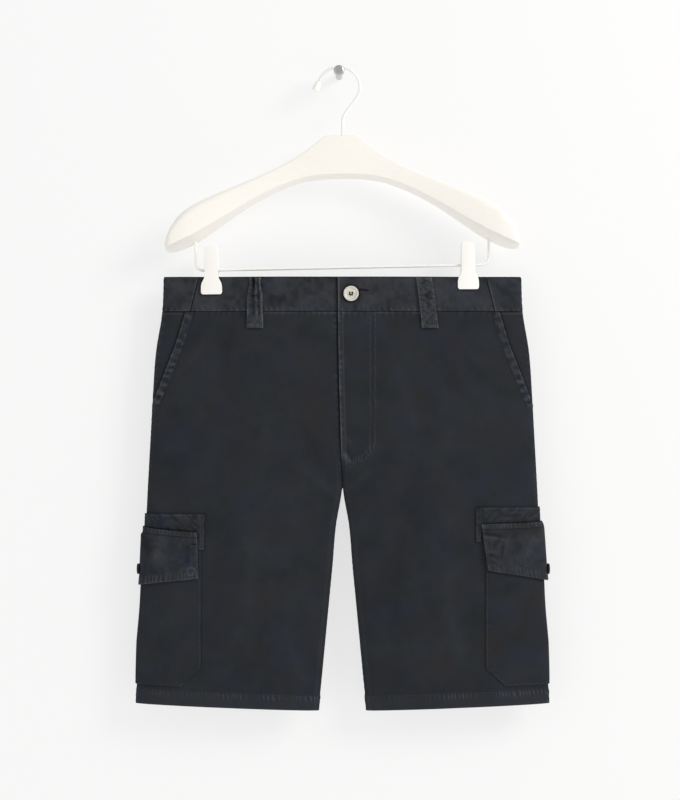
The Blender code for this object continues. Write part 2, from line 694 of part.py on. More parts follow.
def under_wood(x, y):
    """Height of the sloping underside at (x, y)."""
    wood = wood_at(x)
    share = (wood.half_depth - wood.forward - y) / (2 * wood.half_depth)
    return wood.bottom + (wood.front_bottom - wood.bottom) * share


def rounded(before, corner, after, radius):
    """Three points that round a corner of a section."""
    start = corner + (before - corner).normalized() * radius
    end = corner + (after - corner).normalized() * radius
    return [start, (start + 2 * corner + end) / 4, end]


def wood_section(wood):
    """Corners in order: rear bottom, front bottom, front top, rear top."""
    rear = wood.half_depth - wood.forward
    front = -wood.half_depth - wood.forward
    corners = [Vector((rear, wood.bottom)), Vector((front, wood.front_bottom)),
               Vector((front, wood.top)), Vector((rear, wood.top))]
    radii = (WOOD_EDGE, WOOD_EDGE, wood.top_round, wood.top_round)
    points = []
    for i in range(4):
        points += rounded(corners[i - 1], corners[i], corners[(i + 1) % 4], radii[i])
    return points


def hanger_body(parent):
    """The wooden shoulder piece, lofted from rounded sections from end to end."""
    stations = [(-w.x, w) for w in reversed(WOOD)] + [(w.x, w) for w in WOOD[1:]]
    points, faces = [], []
    for x, wood in stations:
        points += [(x, *spot) for spot in wood_section(wood)]
    ring = 12
    for place in range(len(stations) - 1):
        for i in range(ring):
            a, b = place * ring + i, place * ring + (i + 1) % ring
            faces.append((a, b, b + ring, a + ring))
    faces.append(tuple(range(ring)))
    faces.append(tuple(range((len(stations) - 1) * ring, len(stations) * ring)))
    mesh = mesh_from("hanger_body", points, faces, radians(35))
    add_object("hanger_body", mesh, WHITE_WOOD, (0, 0, 0), parent)


def wire_object(name, points, radius, spec, parent=None):
    curve = bpy.data.curves.new(name, "CURVE")
    curve.dimensions = "3D"
    curve.bevel_depth = radius
    curve.bevel_resolution = 2
    curve.use_fill_caps = True
    line = curve.splines.new("POLY")
    line.points.add(len(points) - 1)
    for spot, point in zip(line.points, points):
        spot.co = (*point, 1.0)
    return add_object(name, curve, spec, (0, 0, 0), parent)


def bezier(start, lead, trail, end, count):
    """Points on a cubic curve, without its first one."""
    made = []
    for i in range(1, count + 1):
        t = i / count
        made.append(start * (1 - t) ** 3 + lead * 3 * t * (1 - t) ** 2
                    + trail * 3 * t * t * (1 - t) + end * t ** 3)
    return made


def hook(parent):
    """A wire hook: stem, S-bend, round bow over the peg and a capped free end."""
    bow = Vector((-CENTRE_X - HANGER_TILT * WAIST_Z, 0,
                  PEG_RADIUS + SEAM + WIRE - HOOK_RADIUS - WAIST_Z))
    stem = Vector((STEM_X, 0, WOOD[0].top + SEAM))
    turn = Vector((STEM_X + 0.0002, 0, WOOD[0].top + STEM_LENGTH))
    side = bow + Vector((HOOK_RADIUS, 0, 0))
    points = [stem, stem.lerp(turn, 0.5), turn]
    points += bezier(turn, turn + Vector((0.0, 0, STEM_LEAD)),
                     side - Vector((0, 0, STEM_TRAIL)), side, 9)
    turns = 22
    for i in range(1, turns + 1):
        angle = HOOK_END_ANGLE * i / turns
        points.append(bow + Vector((cos(angle), 0, sin(angle))) * HOOK_RADIUS)
    tangent = Vector((-sin(HOOK_END_ANGLE), 0, cos(HOOK_END_ANGLE)))
    end = points[-1] + tangent * HOOK_CAP_GRIP
    points.append(end)
    wire_object("hanger_hook", points, WIRE, COATED_WIRE, parent)
    turned("hook_cap", HOOK_CAP_PROFILE, 14, WHITE_PLASTIC, end + tangent * SEAM, tangent, parent)


def trouser_bar(parent):
    """A wire whose ends go up under the wood."""
    points = []
    for side in (-1, 1):
        x = side * BAR_X
        low = BAR_Z + side * BAR_SLOPE
        top = under_wood(BAR_X + BAR_WIRE, BAR_WIRE) - 2 * SEAM
        run = [Vector((x, 0, top)), Vector((x, 0, low + BAR_BEND + BAR_STRAIGHT))]
        corner = Vector((x - side * BAR_BEND, 0, low + BAR_BEND))
        for i in range(6):
            angle = pi / 2 * i / 5
            out = Vector((side * cos(angle), 0, -sin(angle)))
            run.append(corner + out * BAR_BEND)
        points += run if side < 0 else list(reversed(run))
    wire_object("hanger_bar", points, BAR_WIRE, COATED_WIRE, parent)


def bar_height(x):
    return BAR_Z + BAR_SLOPE * x / (BAR_X - BAR_BEND)


ClipRow = namedtuple("ClipRow", "z half_width away")
CLIP_ROWS = (             # height from the bar, half width, inner face's distance from MID_Y
    ClipRow(0.0278, 0.0058, 0.0088),
    ClipRow(0.0250, 0.0077, 0.0087),
    ClipRow(0.0080, 0.0082, 0.0062),
    ClipRow(0.0000, 0.0083, 0.0041),
    ClipRow(-0.0078, 0.0084, 0.0047),
    ClipRow(-0.0190, 0.0126, 0.0050),
    ClipRow(-0.0262, 0.0127, 0.0052),
    ClipRow(-0.0292, 0.0108, 0.0056),
)


def clip(name, x, parent):
    """Two plates and a hinge on the bar that grip the waistband between them."""
    bar = bar_height(x)
    for word, face in (("front", -1), ("back", 1)):
        points, faces = [], []
        for row in CLIP_ROWS:
            for part in (-1, 1):
                for away in (row.away, row.away + CLIP_PLATE):
                    points.append((x + part * row.half_width, face * away, bar + row.z))
        for place in range(len(CLIP_ROWS) - 1):
            base = 4 * place
            for a, b in ((0, 1), (1, 3), (3, 2), (2, 0)):
                faces.append((base + a, base + b, base + b + 4, base + a + 4))
        last = 4 * (len(CLIP_ROWS) - 1)
        faces.append((0, 1, 3, 2))
        faces.append((last, last + 1, last + 3, last + 2))
        mesh = mesh_from(f"{name}_{word}", points, faces)
        add_object(f"{name}_{word}", mesh, WHITE_PLASTIC, (0, 0, 0), parent)
    ring_points, ring_faces, sides = [], [], 14
    for end in (-1, 1):
        for radius in (BAR_WIRE + SEAM, CLIP_HINGE):
            for i in range(sides):
                angle = 2 * pi * i / sides
                spot = (x + end * HINGE_HALF, radius * cos(angle), bar + radius * sin(angle))
                ring_points.append(spot)
    for i in range(sides):
        j = (i + 1) % sides
        ring_faces.append((i, j, sides + j, sides + i))
        ring_faces.append((2 * sides + i, 2 * sides + j, 3 * sides + j, 3 * sides + i))
        ring_faces.append((i, j, 2 * sides + j, 2 * sides + i))
        ring_faces.append((sides + i, sides + j, 3 * sides + j, 3 * sides + i))
    mesh = mesh_from(f"{name}_hinge", ring_points, ring_faces)
    add_object(f"{name}_hinge", mesh, WHITE_PLASTIC, (0, 0, 0), parent)


def wall_peg():
    """A turned peg: neck, then a knob that keeps the hook on."""
    turned("wall_peg", PEG_PROFILE, 24, PEG_METAL, (0, 0, 0), (0, -1, 0))


# ---- assembly ----------------------------------------------------------------------
def main():
    for old in list(bpy.data.objects):
        bpy.data.objects.remove(old, do_unlink=True)
    for word, side in (("left", 1), ("right", -1)):
        panel(f"front_panel_{word}", side, -1)
        panel(f"back_panel_{word}", side, 1)
        hip_pocket(f"hip_pocket_{word}", side)
        waistband_front(f"waistband_{word}", side)
        cargo_pocket(f"cargo_pocket_{word}", side)
        cargo_band(f"cargo_band_{word}", side)
        cargo_flap(f"cargo_flap_{word}", side)
        flap_snap(f"flap_snap_{word}", side)
    waistband_back("waistband_back")
    behind = BAND_CLOTH - BAND_PROUD + SEAM
    fly_strip("fly_zip", ZIP_TOP_Z, (), (0, 1, 2), -CLOTH - SEAM - ZIP_CLOTH, -CLOTH - SEAM,
              ZIP_TAPE)
    shield_top = -CLOTH - 2 * SEAM - ZIP_CLOTH
    fly_strip("fly_shield", SHIELD_TOP_Z, (3, 2, 1), (0, 1, 2, 3), shield_top - CLOTH,
              min(shield_top, -behind), DYED_TWILL)
    for loop in LOOPS:
        belt_loop(loop)
    waist_button()
    carrier = bpy.data.objects.new("hanger_carrier", None)
    bpy.context.scene.collection.objects.link(carrier)
    carrier.location = GARMENT_AT
    carrier.rotation_euler = (0, -HANGER_TILT, 0)
    hanger_body(carrier)
    hook(carrier)
    trouser_bar(carrier)
    for word, x in CLIP_AT.items():
        clip(f"clip_{word}", x, carrier)
    wall_peg()


main()
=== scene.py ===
# %% [markdown]
# # Cargo shorts on a clip hanger
# A pair of garment-dyed cotton shorts hangs by its waistband from a white wooden hanger. The solid
# model is loaded first as a fixed frame. Each cloth piece is then built again as a fine thin wall on
# the same form, with its seams, puckers and wear, and the hard pieces get their finish.

# %% Load the frame
from collections import namedtuple
from math import cos, pi, radians, sin

import bmesh
import bpy
import numpy as np
from mathutils import Matrix, Vector


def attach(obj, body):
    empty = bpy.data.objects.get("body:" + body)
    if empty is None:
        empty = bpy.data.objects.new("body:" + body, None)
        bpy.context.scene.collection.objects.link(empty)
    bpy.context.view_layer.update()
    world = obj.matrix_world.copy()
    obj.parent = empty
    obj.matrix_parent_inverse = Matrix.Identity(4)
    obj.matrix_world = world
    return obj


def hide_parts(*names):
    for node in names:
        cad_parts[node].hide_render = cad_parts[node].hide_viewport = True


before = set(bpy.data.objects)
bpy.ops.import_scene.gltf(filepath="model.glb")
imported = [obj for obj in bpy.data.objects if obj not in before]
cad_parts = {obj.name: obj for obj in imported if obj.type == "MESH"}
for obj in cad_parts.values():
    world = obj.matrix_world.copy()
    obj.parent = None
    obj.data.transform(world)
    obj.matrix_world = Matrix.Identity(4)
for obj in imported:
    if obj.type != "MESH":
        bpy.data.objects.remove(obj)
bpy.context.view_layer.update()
print("frame loaded with", len(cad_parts), "nodes")

# %% [markdown]
# ## Helpers for materials and objects
# A colour is easiest to choose as a hex code, the way a screen shows it, but a shader wants linear
# light, so one function converts it. A second one adds any node with its settings and links, and a
# third starts a material, which keeps each one short enough to read as a recipe. The last three make
# a mesh of a bmesh, an object of data, and a mesh of what a helper object's modifiers give.

# %% Colour, node and object helpers
def hex_linear(code, alpha=1.0):
    """Turn an sRGB hex code into the linear RGBA that a shader wants."""
    values = [int(code[i:i + 2], 16) / 255 for i in (1, 3, 5)]
    linear = [v / 12.92 if v <= 0.04045 else ((v + 0.055) / 1.055) ** 2.4 for v in values]
    return (*linear, alpha)


def add_node(tree, kind, values=None, links=None, **settings):
    """Add a node: settings are its properties, values its sockets, links what feeds them."""
    node = tree.nodes.new(kind)
    for name, value in settings.items():
        setattr(node, name, value)
    for socket, value in (values or {}).items():
        node.inputs[socket].default_value = value
    for socket, source in (links or {}).items():
        tree.links.new(source, node.inputs[socket])
    return node


def new_material(name, colour, roughness, metallic=0.0, **shader_values):
    """A Principled material; the caller adds its pattern."""
    made = bpy.data.materials.new(name)
    made.use_nodes = True
    tree = made.node_tree
    shader = tree.nodes["Principled BSDF"]
    shader.inputs["Base Color"].default_value = hex_linear(colour)
    shader.inputs["Roughness"].default_value = roughness
    shader.inputs["Metallic"].default_value = metallic
    for socket, value in shader_values.items():
        shader.inputs[socket.replace("_", " ")].default_value = value
    return made, tree, shader


def finished_mesh(name, build):
    """The mesh of a bmesh, which is freed."""
    mesh = bpy.data.meshes.new(name)
    build.to_mesh(mesh)
    build.free()
    return mesh


def add_object(name, data):
    made = bpy.data.objects.new(name, data)
    bpy.context.scene.collection.objects.link(made)
    return made


def evaluated_mesh(helper):
    """The mesh that a helper object gives; the helper is removed."""
    view = bpy.context.evaluated_depsgraph_get()
    made = bpy.data.meshes.new_from_object(helper.evaluated_get(view))
    bpy.data.objects.remove(helper, do_unlink=True)
    return made


MM = 0.001

# %% [markdown]
# ## Garment-dyed cotton twill
# The shorts were sewn first and dyed afterwards, so the dye is thin on every raised seam. Three
# numbers are painted on the mesh: `wear` where the cloth is rubbed pale, a second one that darkens
# the cloth with painted shade in the hollows beside seams, puckers and creases and with a few darker
# patches of dye, and `bluish` where the colour drifts. A twill is a fine diagonal rib. It is drawn on
# the UV map, which holds real metres along and down the cloth, so the rib follows every panel. The
# real rib is 0.5 mm apart, and here it is 0.9 mm so that it shows.

# %% Twill material
TWILL_PITCH = 0.9 * MM


def twill_material():
    """Matt cotton: no gloss, a slight nap, ribs, slubs, patchy dye and painted shade in the hollows.
    """
    made, tree, shader = new_material("garment_dyed_cotton_twill", "#25282c", 0.95,
                                      Specular_IOR_Level=0.12, Sheen_Weight=0.06,
                                      Sheen_Roughness=0.5)
    shader.inputs["Sheen Tint"].default_value = hex_linear("#aab0bb")
    uv = add_node(tree, "ShaderNodeUVMap", uv_map="cloth")
    place = add_node(tree, "ShaderNodeTexCoord")
    split = add_node(tree, "ShaderNodeSeparateXYZ", links={"Vector": uv.outputs["UV"]})
    lean = add_node(tree, "ShaderNodeMath", {1: 1.35}, {0: split.outputs["Y"]},
                    operation="MULTIPLY")
    rise = add_node(tree, "ShaderNodeMath", None, {0: split.outputs["X"], 1: lean.outputs[0]},
                    operation="ADD")
    turns = add_node(tree, "ShaderNodeMath", {1: 2 * pi / TWILL_PITCH / 1.6},
                     {0: rise.outputs[0]}, operation="MULTIPLY")
    rib = add_node(tree, "ShaderNodeMath", None, {0: turns.outputs[0]}, operation="SINE")
    slub = add_node(tree, "ShaderNodeTexNoise", {"Scale": 1 / (1.6 * MM), "Detail": 3.0},
                    {"Vector": uv.outputs["UV"]})
    patch = add_node(tree, "ShaderNodeTexNoise", {"Scale": 1 / (34 * MM), "Detail": 4.0,
                                                  "Roughness": 0.6},
                     {"Vector": place.outputs["Object"]})
    drift = add_node(tree, "ShaderNodeTexNoise", {"Scale": 1 / (52 * MM), "Detail": 2.0,
                                                  "W": 4.2},
                     {"Vector": place.outputs["Object"]}, noise_dimensions="4D")
    painted = {name: add_node(tree, "ShaderNodeAttribute", attribute_name=name).outputs["Fac"]
               for name in ("wear", "shade_and_dye", "bluish")}

    tone = add_node(tree, "ShaderNodeMapRange", {"From Min": 0.34, "From Max": 0.68},
                    {"Value": patch.outputs["Fac"]})
    ground = add_node(tree, "ShaderNodeMix", {"A": hex_linear("#24272a"),
                                              "B": hex_linear("#2b2e32")},
                      {"Factor": tone.outputs[0]}, data_type="RGBA")
    cool = add_node(tree, "ShaderNodeMapRange", {"From Min": 0.52, "From Max": 0.72,
                                                 "To Max": 0.55},
                    {"Value": drift.outputs["Fac"]})
    blue = add_node(tree, "ShaderNodeMath", None, {0: cool.outputs[0], 1: painted["bluish"]},
                    operation="MAXIMUM")
    tinted = add_node(tree, "ShaderNodeMix", {"B": hex_linear("#262a38")},
                      {"Factor": blue.outputs[0], "A": ground.outputs["Result"]},
                      data_type="RGBA")
    warm_place = add_node(tree, "ShaderNodeTexNoise", {"Scale": 1 / (41 * MM), "Detail": 3.0,
                                                       "W": 9.1},
                          {"Vector": place.outputs["Object"]}, noise_dimensions="4D")
    warm = add_node(tree, "ShaderNodeMapRange", {"From Min": 0.50, "From Max": 0.66,
                                                 "To Max": 0.60},
                    {"Value": warm_place.outputs["Fac"]})
    tinted = add_node(tree, "ShaderNodeMix", {"B": hex_linear("#2b292c")},
                      {"Factor": warm.outputs[0], "A": tinted.outputs["Result"]},
                      data_type="RGBA")
    rough_wear = add_node(tree, "ShaderNodeMapRange", {"From Min": 0.30, "From Max": 0.62,
                                                       "To Min": 0.45, "To Max": 1.15},
                          {"Value": slub.outputs["Fac"]})
    wear = add_node(tree, "ShaderNodeMath", None,
                    {0: painted["wear"], 1: rough_wear.outputs[0]}, operation="MULTIPLY",
                    use_clamp=True)
    rubbed = add_node(tree, "ShaderNodeMix", {"B": hex_linear("#5a5d63")},
                      {"Factor": wear.outputs[0], "A": tinted.outputs["Result"]},
                      data_type="RGBA")
    # Painted shade in the hollows of seams, puckers and creases, plus a few darker dye patches: the
    # second painted number mixes the cloth towards near black.
    shade_mix = add_node(tree, "ShaderNodeMix", {"B": hex_linear("#0d0e10")},
                      {"Factor": painted["shade_and_dye"], "A": rubbed.outputs["Result"]},
                      data_type="RGBA")
    grain = add_node(tree, "ShaderNodeMath", {1: 0.10, 2: 1.0}, {0: rib.outputs[0]},
                     operation="MULTIPLY_ADD")
    woven = add_node(tree, "ShaderNodeVectorMath", None,
                     {0: shade_mix.outputs["Result"], 1: grain.outputs[0]}, operation="MULTIPLY")
    tree.links.new(woven.outputs[0], shader.inputs["Base Color"])

    height = add_node(tree, "ShaderNodeMath", {1: 0.5}, {0: rib.outputs[0],
                                                         2: slub.outputs["Fac"]},
                      operation="MULTIPLY_ADD")
    bump = add_node(tree, "ShaderNodeBump", {"Strength": 0.55, "Distance": 0.16 * MM},
                    {"Height": height.outputs[0]})
    tree.links.new(bump.outputs[0], shader.inputs["Normal"])
    return made


TWILL = twill_material()
print("material", TWILL.name)

# %% [markdown]
# ## Thread, zip tape and the hard finishes
# The sewing thread took the dye a little less than the cloth, so it is one step paler. The corozo
# button is a polished nut with a faint ring grain. The wood is sprayed with satin lacquer, the clips
# and the hook's cap are moulded, the wire is powder coated and the peg is brushed steel. Each of
# these is nearly one colour, so what tells them apart is gloss and a very small surface pattern.

# %% Hard and small materials
def noise_bump(tree, shader, size, distance, strength=0.5, stretch=(1, 1, 1)):
    """A fine surface unevenness of a real size, in Object coordinates."""
    place = add_node(tree, "ShaderNodeTexCoord")
    turned = add_node(tree, "ShaderNodeMapping", {"Scale": stretch},
                      {"Vector": place.outputs["Object"]})
    noise = add_node(tree, "ShaderNodeTexNoise", {"Scale": 1 / size, "Detail": 3.0},
                     {"Vector": turned.outputs[0]})
    bump = add_node(tree, "ShaderNodeBump", {"Strength": strength, "Distance": distance},
                    {"Height": noise.outputs["Fac"]})
    tree.links.new(bump.outputs[0], shader.inputs["Normal"])
    return noise


def two_tone(tree, shader, noise, low, high):
    """Mix two close colours by a noise, for a surface that is never quite one colour."""
    mix = add_node(tree, "ShaderNodeMix", {"A": hex_linear(low), "B": hex_linear(high)},
                   {"Factor": noise.outputs["Fac"]}, data_type="RGBA")
    tree.links.new(mix.outputs["Result"], shader.inputs["Base Color"])


def simple_material(name, low, high, roughness, size, distance, metallic=0.0,
                    stretch=(1, 1, 1), **shader_values):
    made, tree, shader = new_material(name, low, roughness, metallic, **shader_values)
    noise = noise_bump(tree, shader, size, distance, stretch=stretch)
    two_tone(tree, shader, noise, low, high)
    return made


# Spun polyester-cotton thread: dull, a touch paler than the cloth.
THREAD = simple_material("dyed_sewing_thread", "#33363b", "#45484e", 0.9, 0.5 * MM, 0.05 * MM,
                         Specular_IOR_Level=0.2)
# Black spun thread through the button: matt.
BLACK_THREAD = simple_material("black_button_thread", "#0b0b0c", "#17171a", 0.85, 0.4 * MM,
                               0.05 * MM, Specular_IOR_Level=0.2)
# Woven polyester zip tape: dark, with a cross rib.
ZIP_TAPE = simple_material("woven_zip_tape", "#17191b", "#202326", 0.8, 0.8 * MM, 0.1 * MM,
                           stretch=(1, 1, 4))
# Turned and polished corozo nut: ivory grey with a fine ring grain, low gloss.
COROZO = simple_material("polished_corozo", "#a5a192", "#f1eee2", 0.30, 3.2 * MM, 0.05 * MM,
                         stretch=(1, 1, 1.8))
# Enamelled press snap: satin black.
BLACK_SNAP = simple_material("black_enamelled_snap", "#040405", "#09090a", 0.5, 0.6 * MM,
                             0.02 * MM, Specular_IOR_Level=0.25)
# Beech under sprayed satin lacquer: warm white, the grain only just shows as a soft unevenness.
LACQUER = simple_material("satin_lacquered_beech", "#f4f0e8", "#f9f6ef", 0.42, 2.2 * MM,
                          0.03 * MM, stretch=(0.12, 1, 1))
# Moulded polypropylene: clean white, soft gloss.
PLASTIC = simple_material("moulded_white_plastic", "#f6f3ee", "#faf8f4", 0.38, 0.8 * MM,
                          0.015 * MM)
# Powder-coated steel wire: white with a faint orange-peel.
COATED_WIRE = simple_material("powder_coated_wire", "#f1f1ec", "#f8f8f4", 0.36, 0.7 * MM,
                              0.02 * MM)
# Brushed stainless peg: grey metal with lines along the turn.
PEG_STEEL = simple_material("brushed_stainless_steel", "#b4b4b2", "#cfcfcd", 0.34, 0.5 * MM,
                            0.02 * MM, metallic=1.0, stretch=(1, 0.1, 1))
print("materials ready:", len(bpy.data.materials))

# %% [markdown]
# ## The form of the hanging shorts
# A hanging pair of shorts is a flattened tube above the crotch and two below it. Its outline at each
# height is a row of a short table, and one function turns (side, front or back, share of the way to
# the side seam, height) into a point. The solids were made by the same rule, so pieces built on it
# lie on them. Three things differ from the solids: the back seam lies a hair off the middle, the
# turned-up hem is 3 mm higher, and the cargo pieces aren't alike left and right. NumPy works on
# whole grids at once, which keeps thousands of points quick.

# %% Sizes of the shorts
GARMENT_AT = np.array([0.0042, -0.036, -0.246])   # middle of the waistband's top edge
HALF_SEAM = 0.15 * MM
CROTCH_Z = -0.252
SPLIT_Z = -0.185
HEM_Z = -0.5198
HEM_RISE = 0.0090
HEM_RISE_FROM = -0.400
BAND_DEPTH = 0.0412
CLIP_X = 0.1542
PINCH = 0.61
PINCH_WIDTH = 0.044
PINCH_BELOW = -0.020
PINCH_FADE = 0.050

Level = namedtuple("Level", "z side inseam front back")
LEVELS = (                # height, side seam, inseam, depth of the front and of the back
    Level(0.000, 0.2142, 0.0000, 0.0100, 0.0095),
    Level(-0.041, 0.2160, 0.0000, 0.0112, 0.0110),
    Level(-0.090, 0.2238, 0.0000, 0.0136, 0.0150),
    Level(-0.140, 0.2274, 0.0000, 0.0152, 0.0180),
    Level(-0.205, 0.2310, 0.0000, 0.0160, 0.0190),
    Level(-0.252, 0.2336, 0.0002, 0.0164, 0.0184),
    Level(-0.299, 0.2358, 0.0078, 0.0164, 0.0176),
    Level(-0.345, 0.2374, 0.0117, 0.0160, 0.0170),
    Level(-0.392, 0.2394, 0.0162, 0.0156, 0.0164),
    Level(-0.436, 0.2430, 0.0204, 0.0152, 0.0160),
    Level(-0.486, 0.2464, 0.0252, 0.0150, 0.0156),
    Level(-0.520, 0.2475, 0.0288, 0.0148, 0.0154),
)
EdgePoint = namedtuple("EdgePoint", "z x")
FLY_EDGE = (EdgePoint(0.0, 0.0058), EdgePoint(-0.090, 0.0049), EdgePoint(-0.194, 0.0022),
            EdgePoint(CROTCH_Z, 0.0))
BAND_JOIN = (EdgePoint(0.0, 0.1722), EdgePoint(-0.0415, 0.1824))
HIP_SLANT = (EdgePoint(-0.0415, 0.1880), EdgePoint(-0.078, 0.1988),
             EdgePoint(-0.110, 0.2112), EdgePoint(-0.152, 0.2278))

Fold = namedtuple("Fold", "face x z half_length half_width height lean")
FOLDS = (                 # soft folds of the hanging cloth; face -1 front, 1 back
    Fold(-1, -0.118, -0.130, 0.080, 0.016, 0.0016, 0.10),
    Fold(-1, -0.060, -0.330, 0.120, 0.020, -0.0018, 0.06),
    Fold(-1, 0.052, -0.085, 0.055, 0.013, 0.0015, -0.35),
    Fold(-1, 0.105, -0.300, 0.130, 0.022, 0.0018, -0.08),
    Fold(-1, -0.150, -0.420, 0.070, 0.018, 0.0014, 0.04),
    Fold(-1, 0.150, -0.440, 0.060, 0.016, -0.0014, -0.05),
    Fold(1, 0.075, -0.180, 0.090, 0.020, 0.0022, 0.12),
    Fold(1, -0.085, -0.200, 0.100, 0.022, 0.0022, -0.10),
    Fold(1, 0.120, -0.370, 0.110, 0.022, -0.0018, 0.05),
    Fold(1, -0.130, -0.340, 0.120, 0.020, 0.0018, -0.06),
)


# %% The form, worked out for whole grids
def unit(value):
    """Keep values between 0 and 1."""
    return np.clip(value, 0, 1)


def smooth_step(value):
    value = np.clip(value, 0.0, 1.0)
    return value * value * (3 - 2 * value)


def curve_values(table, heights, column):
    """A column of a table at many heights, joined by smooth curves."""
    z = np.array([row.z for row in table])
    value = np.array([getattr(row, column) for row in table])
    slope = np.gradient(value, z)
    slope[1:-1] = (value[2:] - value[:-2]) / (z[2:] - z[:-2])
    spot = np.clip(heights, z[-1], z[0])
    place = np.clip(np.searchsorted(-z, -spot), 1, len(z) - 1)
    above, below = place - 1, place
    span = z[below] - z[above]
    t = (spot - z[above]) / span
    return ((2 * t**3 - 3 * t**2 + 1) * value[above] + (t**3 - 2 * t**2 + t) * span * slope[above]
            + (3 * t**2 - 2 * t**3) * value[below] + (t**3 - t**2) * span * slope[below])


def leg_share(z):
    """0 where the shorts are one tube, 1 from the crotch down, where they are two."""
    return smooth_step((SPLIT_Z - z) / (SPLIT_Z - CROTCH_Z))


BACK_LAP = -0.9 * MM        # the back seam lies a hair off the middle, so no light comes through


def inner_edge(side, face, z, gap=HALF_SEAM):
    lap = curve_values(FLY_EDGE, z, "x") if face < 0 else BACK_LAP
    leg = np.maximum(curve_values(LEVELS, z, "inseam"), 0.0002) + gap
    return np.where(z < CROTCH_Z, leg, gap - side * lap)


def share_at(side, face, x, z):
    """Share of the way from the inner edge to the side seam at distance x from the middle."""
    inner = inner_edge(side, face, z)
    return (x - inner) / (curve_values(LEVELS, z, "side") - inner)


def fold_height(face, x, z):
    total = 0.0
    for fold in FOLDS:
        if fold.face == face:
            along = (z - fold.z) / fold.half_length
            across = (x - fold.x - fold.lean * (z - fold.z)) / fold.half_width
            total = total + fold.height * np.exp(-along**2 - across**2)
    return total


def form(side, face, share, z, gap=HALF_SEAM):
    """Points of the outside of the shorts, measured from GARMENT_AT; side 1 is the wearer's left."""
    share, z = np.broadcast_arrays(np.asarray(share, float), np.asarray(z, float))
    inner = inner_edge(side, face, z, gap)
    across = inner + (curve_values(LEVELS, z, "side") - inner) * share
    pressed = PINCH * np.exp(-((across - CLIP_X) / PINCH_WIDTH)**2)
    pressed = pressed * (1 - smooth_step((PINCH_BELOW - z) / PINCH_FADE))
    depth = curve_values(LEVELS, z, "front" if face < 0 else "back") * (1 - pressed)
    depth = depth + fold_height(face, side * across, z)
    round_side = np.sqrt(np.maximum(1 - share**3, 0.0))
    dip = np.sqrt(np.maximum(1 - (1 - share)**3, 0.0))
    round_inner = 1 - leg_share(z) * (1 - dip)
    rise = HEM_RISE * smooth_step((HEM_RISE_FROM - z) / (HEM_RISE_FROM - HEM_Z)) * share
    return np.stack([side * across, face * (gap + depth * round_side * round_inner), z + rise],
                    axis=-1)


print("waist half width", float(curve_values(LEVELS, np.array(0.0), "side")))

# %% [markdown]
# ## Unevenness that never repeats
# Sewn cloth is uneven everywhere. A table of fixed random numbers, read smoothly, gives a wander
# along a line or over a surface, and it is the same on every run. A pucker is such a wave along a
# seam: the thread shrank in the dye bath and drew the cloth into short ridges across the seam.

# %% Smooth noise and seam puckers
def wander(position, size, seed):
    """Smooth noise from -1 to 1 along a line, changing over about size metres."""
    table = np.random.RandomState(seed).uniform(-1, 1, 512)
    spot = np.asarray(position) / size + 97.0
    cell = np.floor(spot).astype(int)
    t = smooth_step(spot - cell)
    return table[cell % 512] * (1 - t) + table[(cell + 1) % 512] * t


def wander_area(u, v, size, seed):
    """Smooth noise from -1 to 1 over a surface."""
    table = np.random.RandomState(seed).uniform(-1, 1, (64, 64))
    a, b = np.asarray(u) / size + 31.0, np.asarray(v) / size + 31.0
    i, j = np.floor(a).astype(int), np.floor(b).astype(int)
    s, t = smooth_step(a - i), smooth_step(b - j)
    top = table[i % 64, j % 64] * (1 - s) + table[(i + 1) % 64, j % 64] * s
    low = table[i % 64, (j + 1) % 64] * (1 - s) + table[(i + 1) % 64, (j + 1) % 64] * s
    return top * (1 - t) + low * t


def pucker(along, away, spacing, seed, slant=0.0):
    """Ridges across a seam, -1 to 1, uneven in spacing and strength."""
    turn = along / spacing + 0.55 * wander(along, spacing * 2.6, seed) + slant * away / spacing
    strength = 0.60 + 0.40 * wander(along, spacing * 1.9, seed + 1)
    return np.sin(2 * pi * turn) * strength


def near(away, width):
    """1 on a line, fading to 0 about width away from it."""
    return np.exp(-(away / width)**2)


print("wander sample", float(wander(0.01, 0.005, 3)))
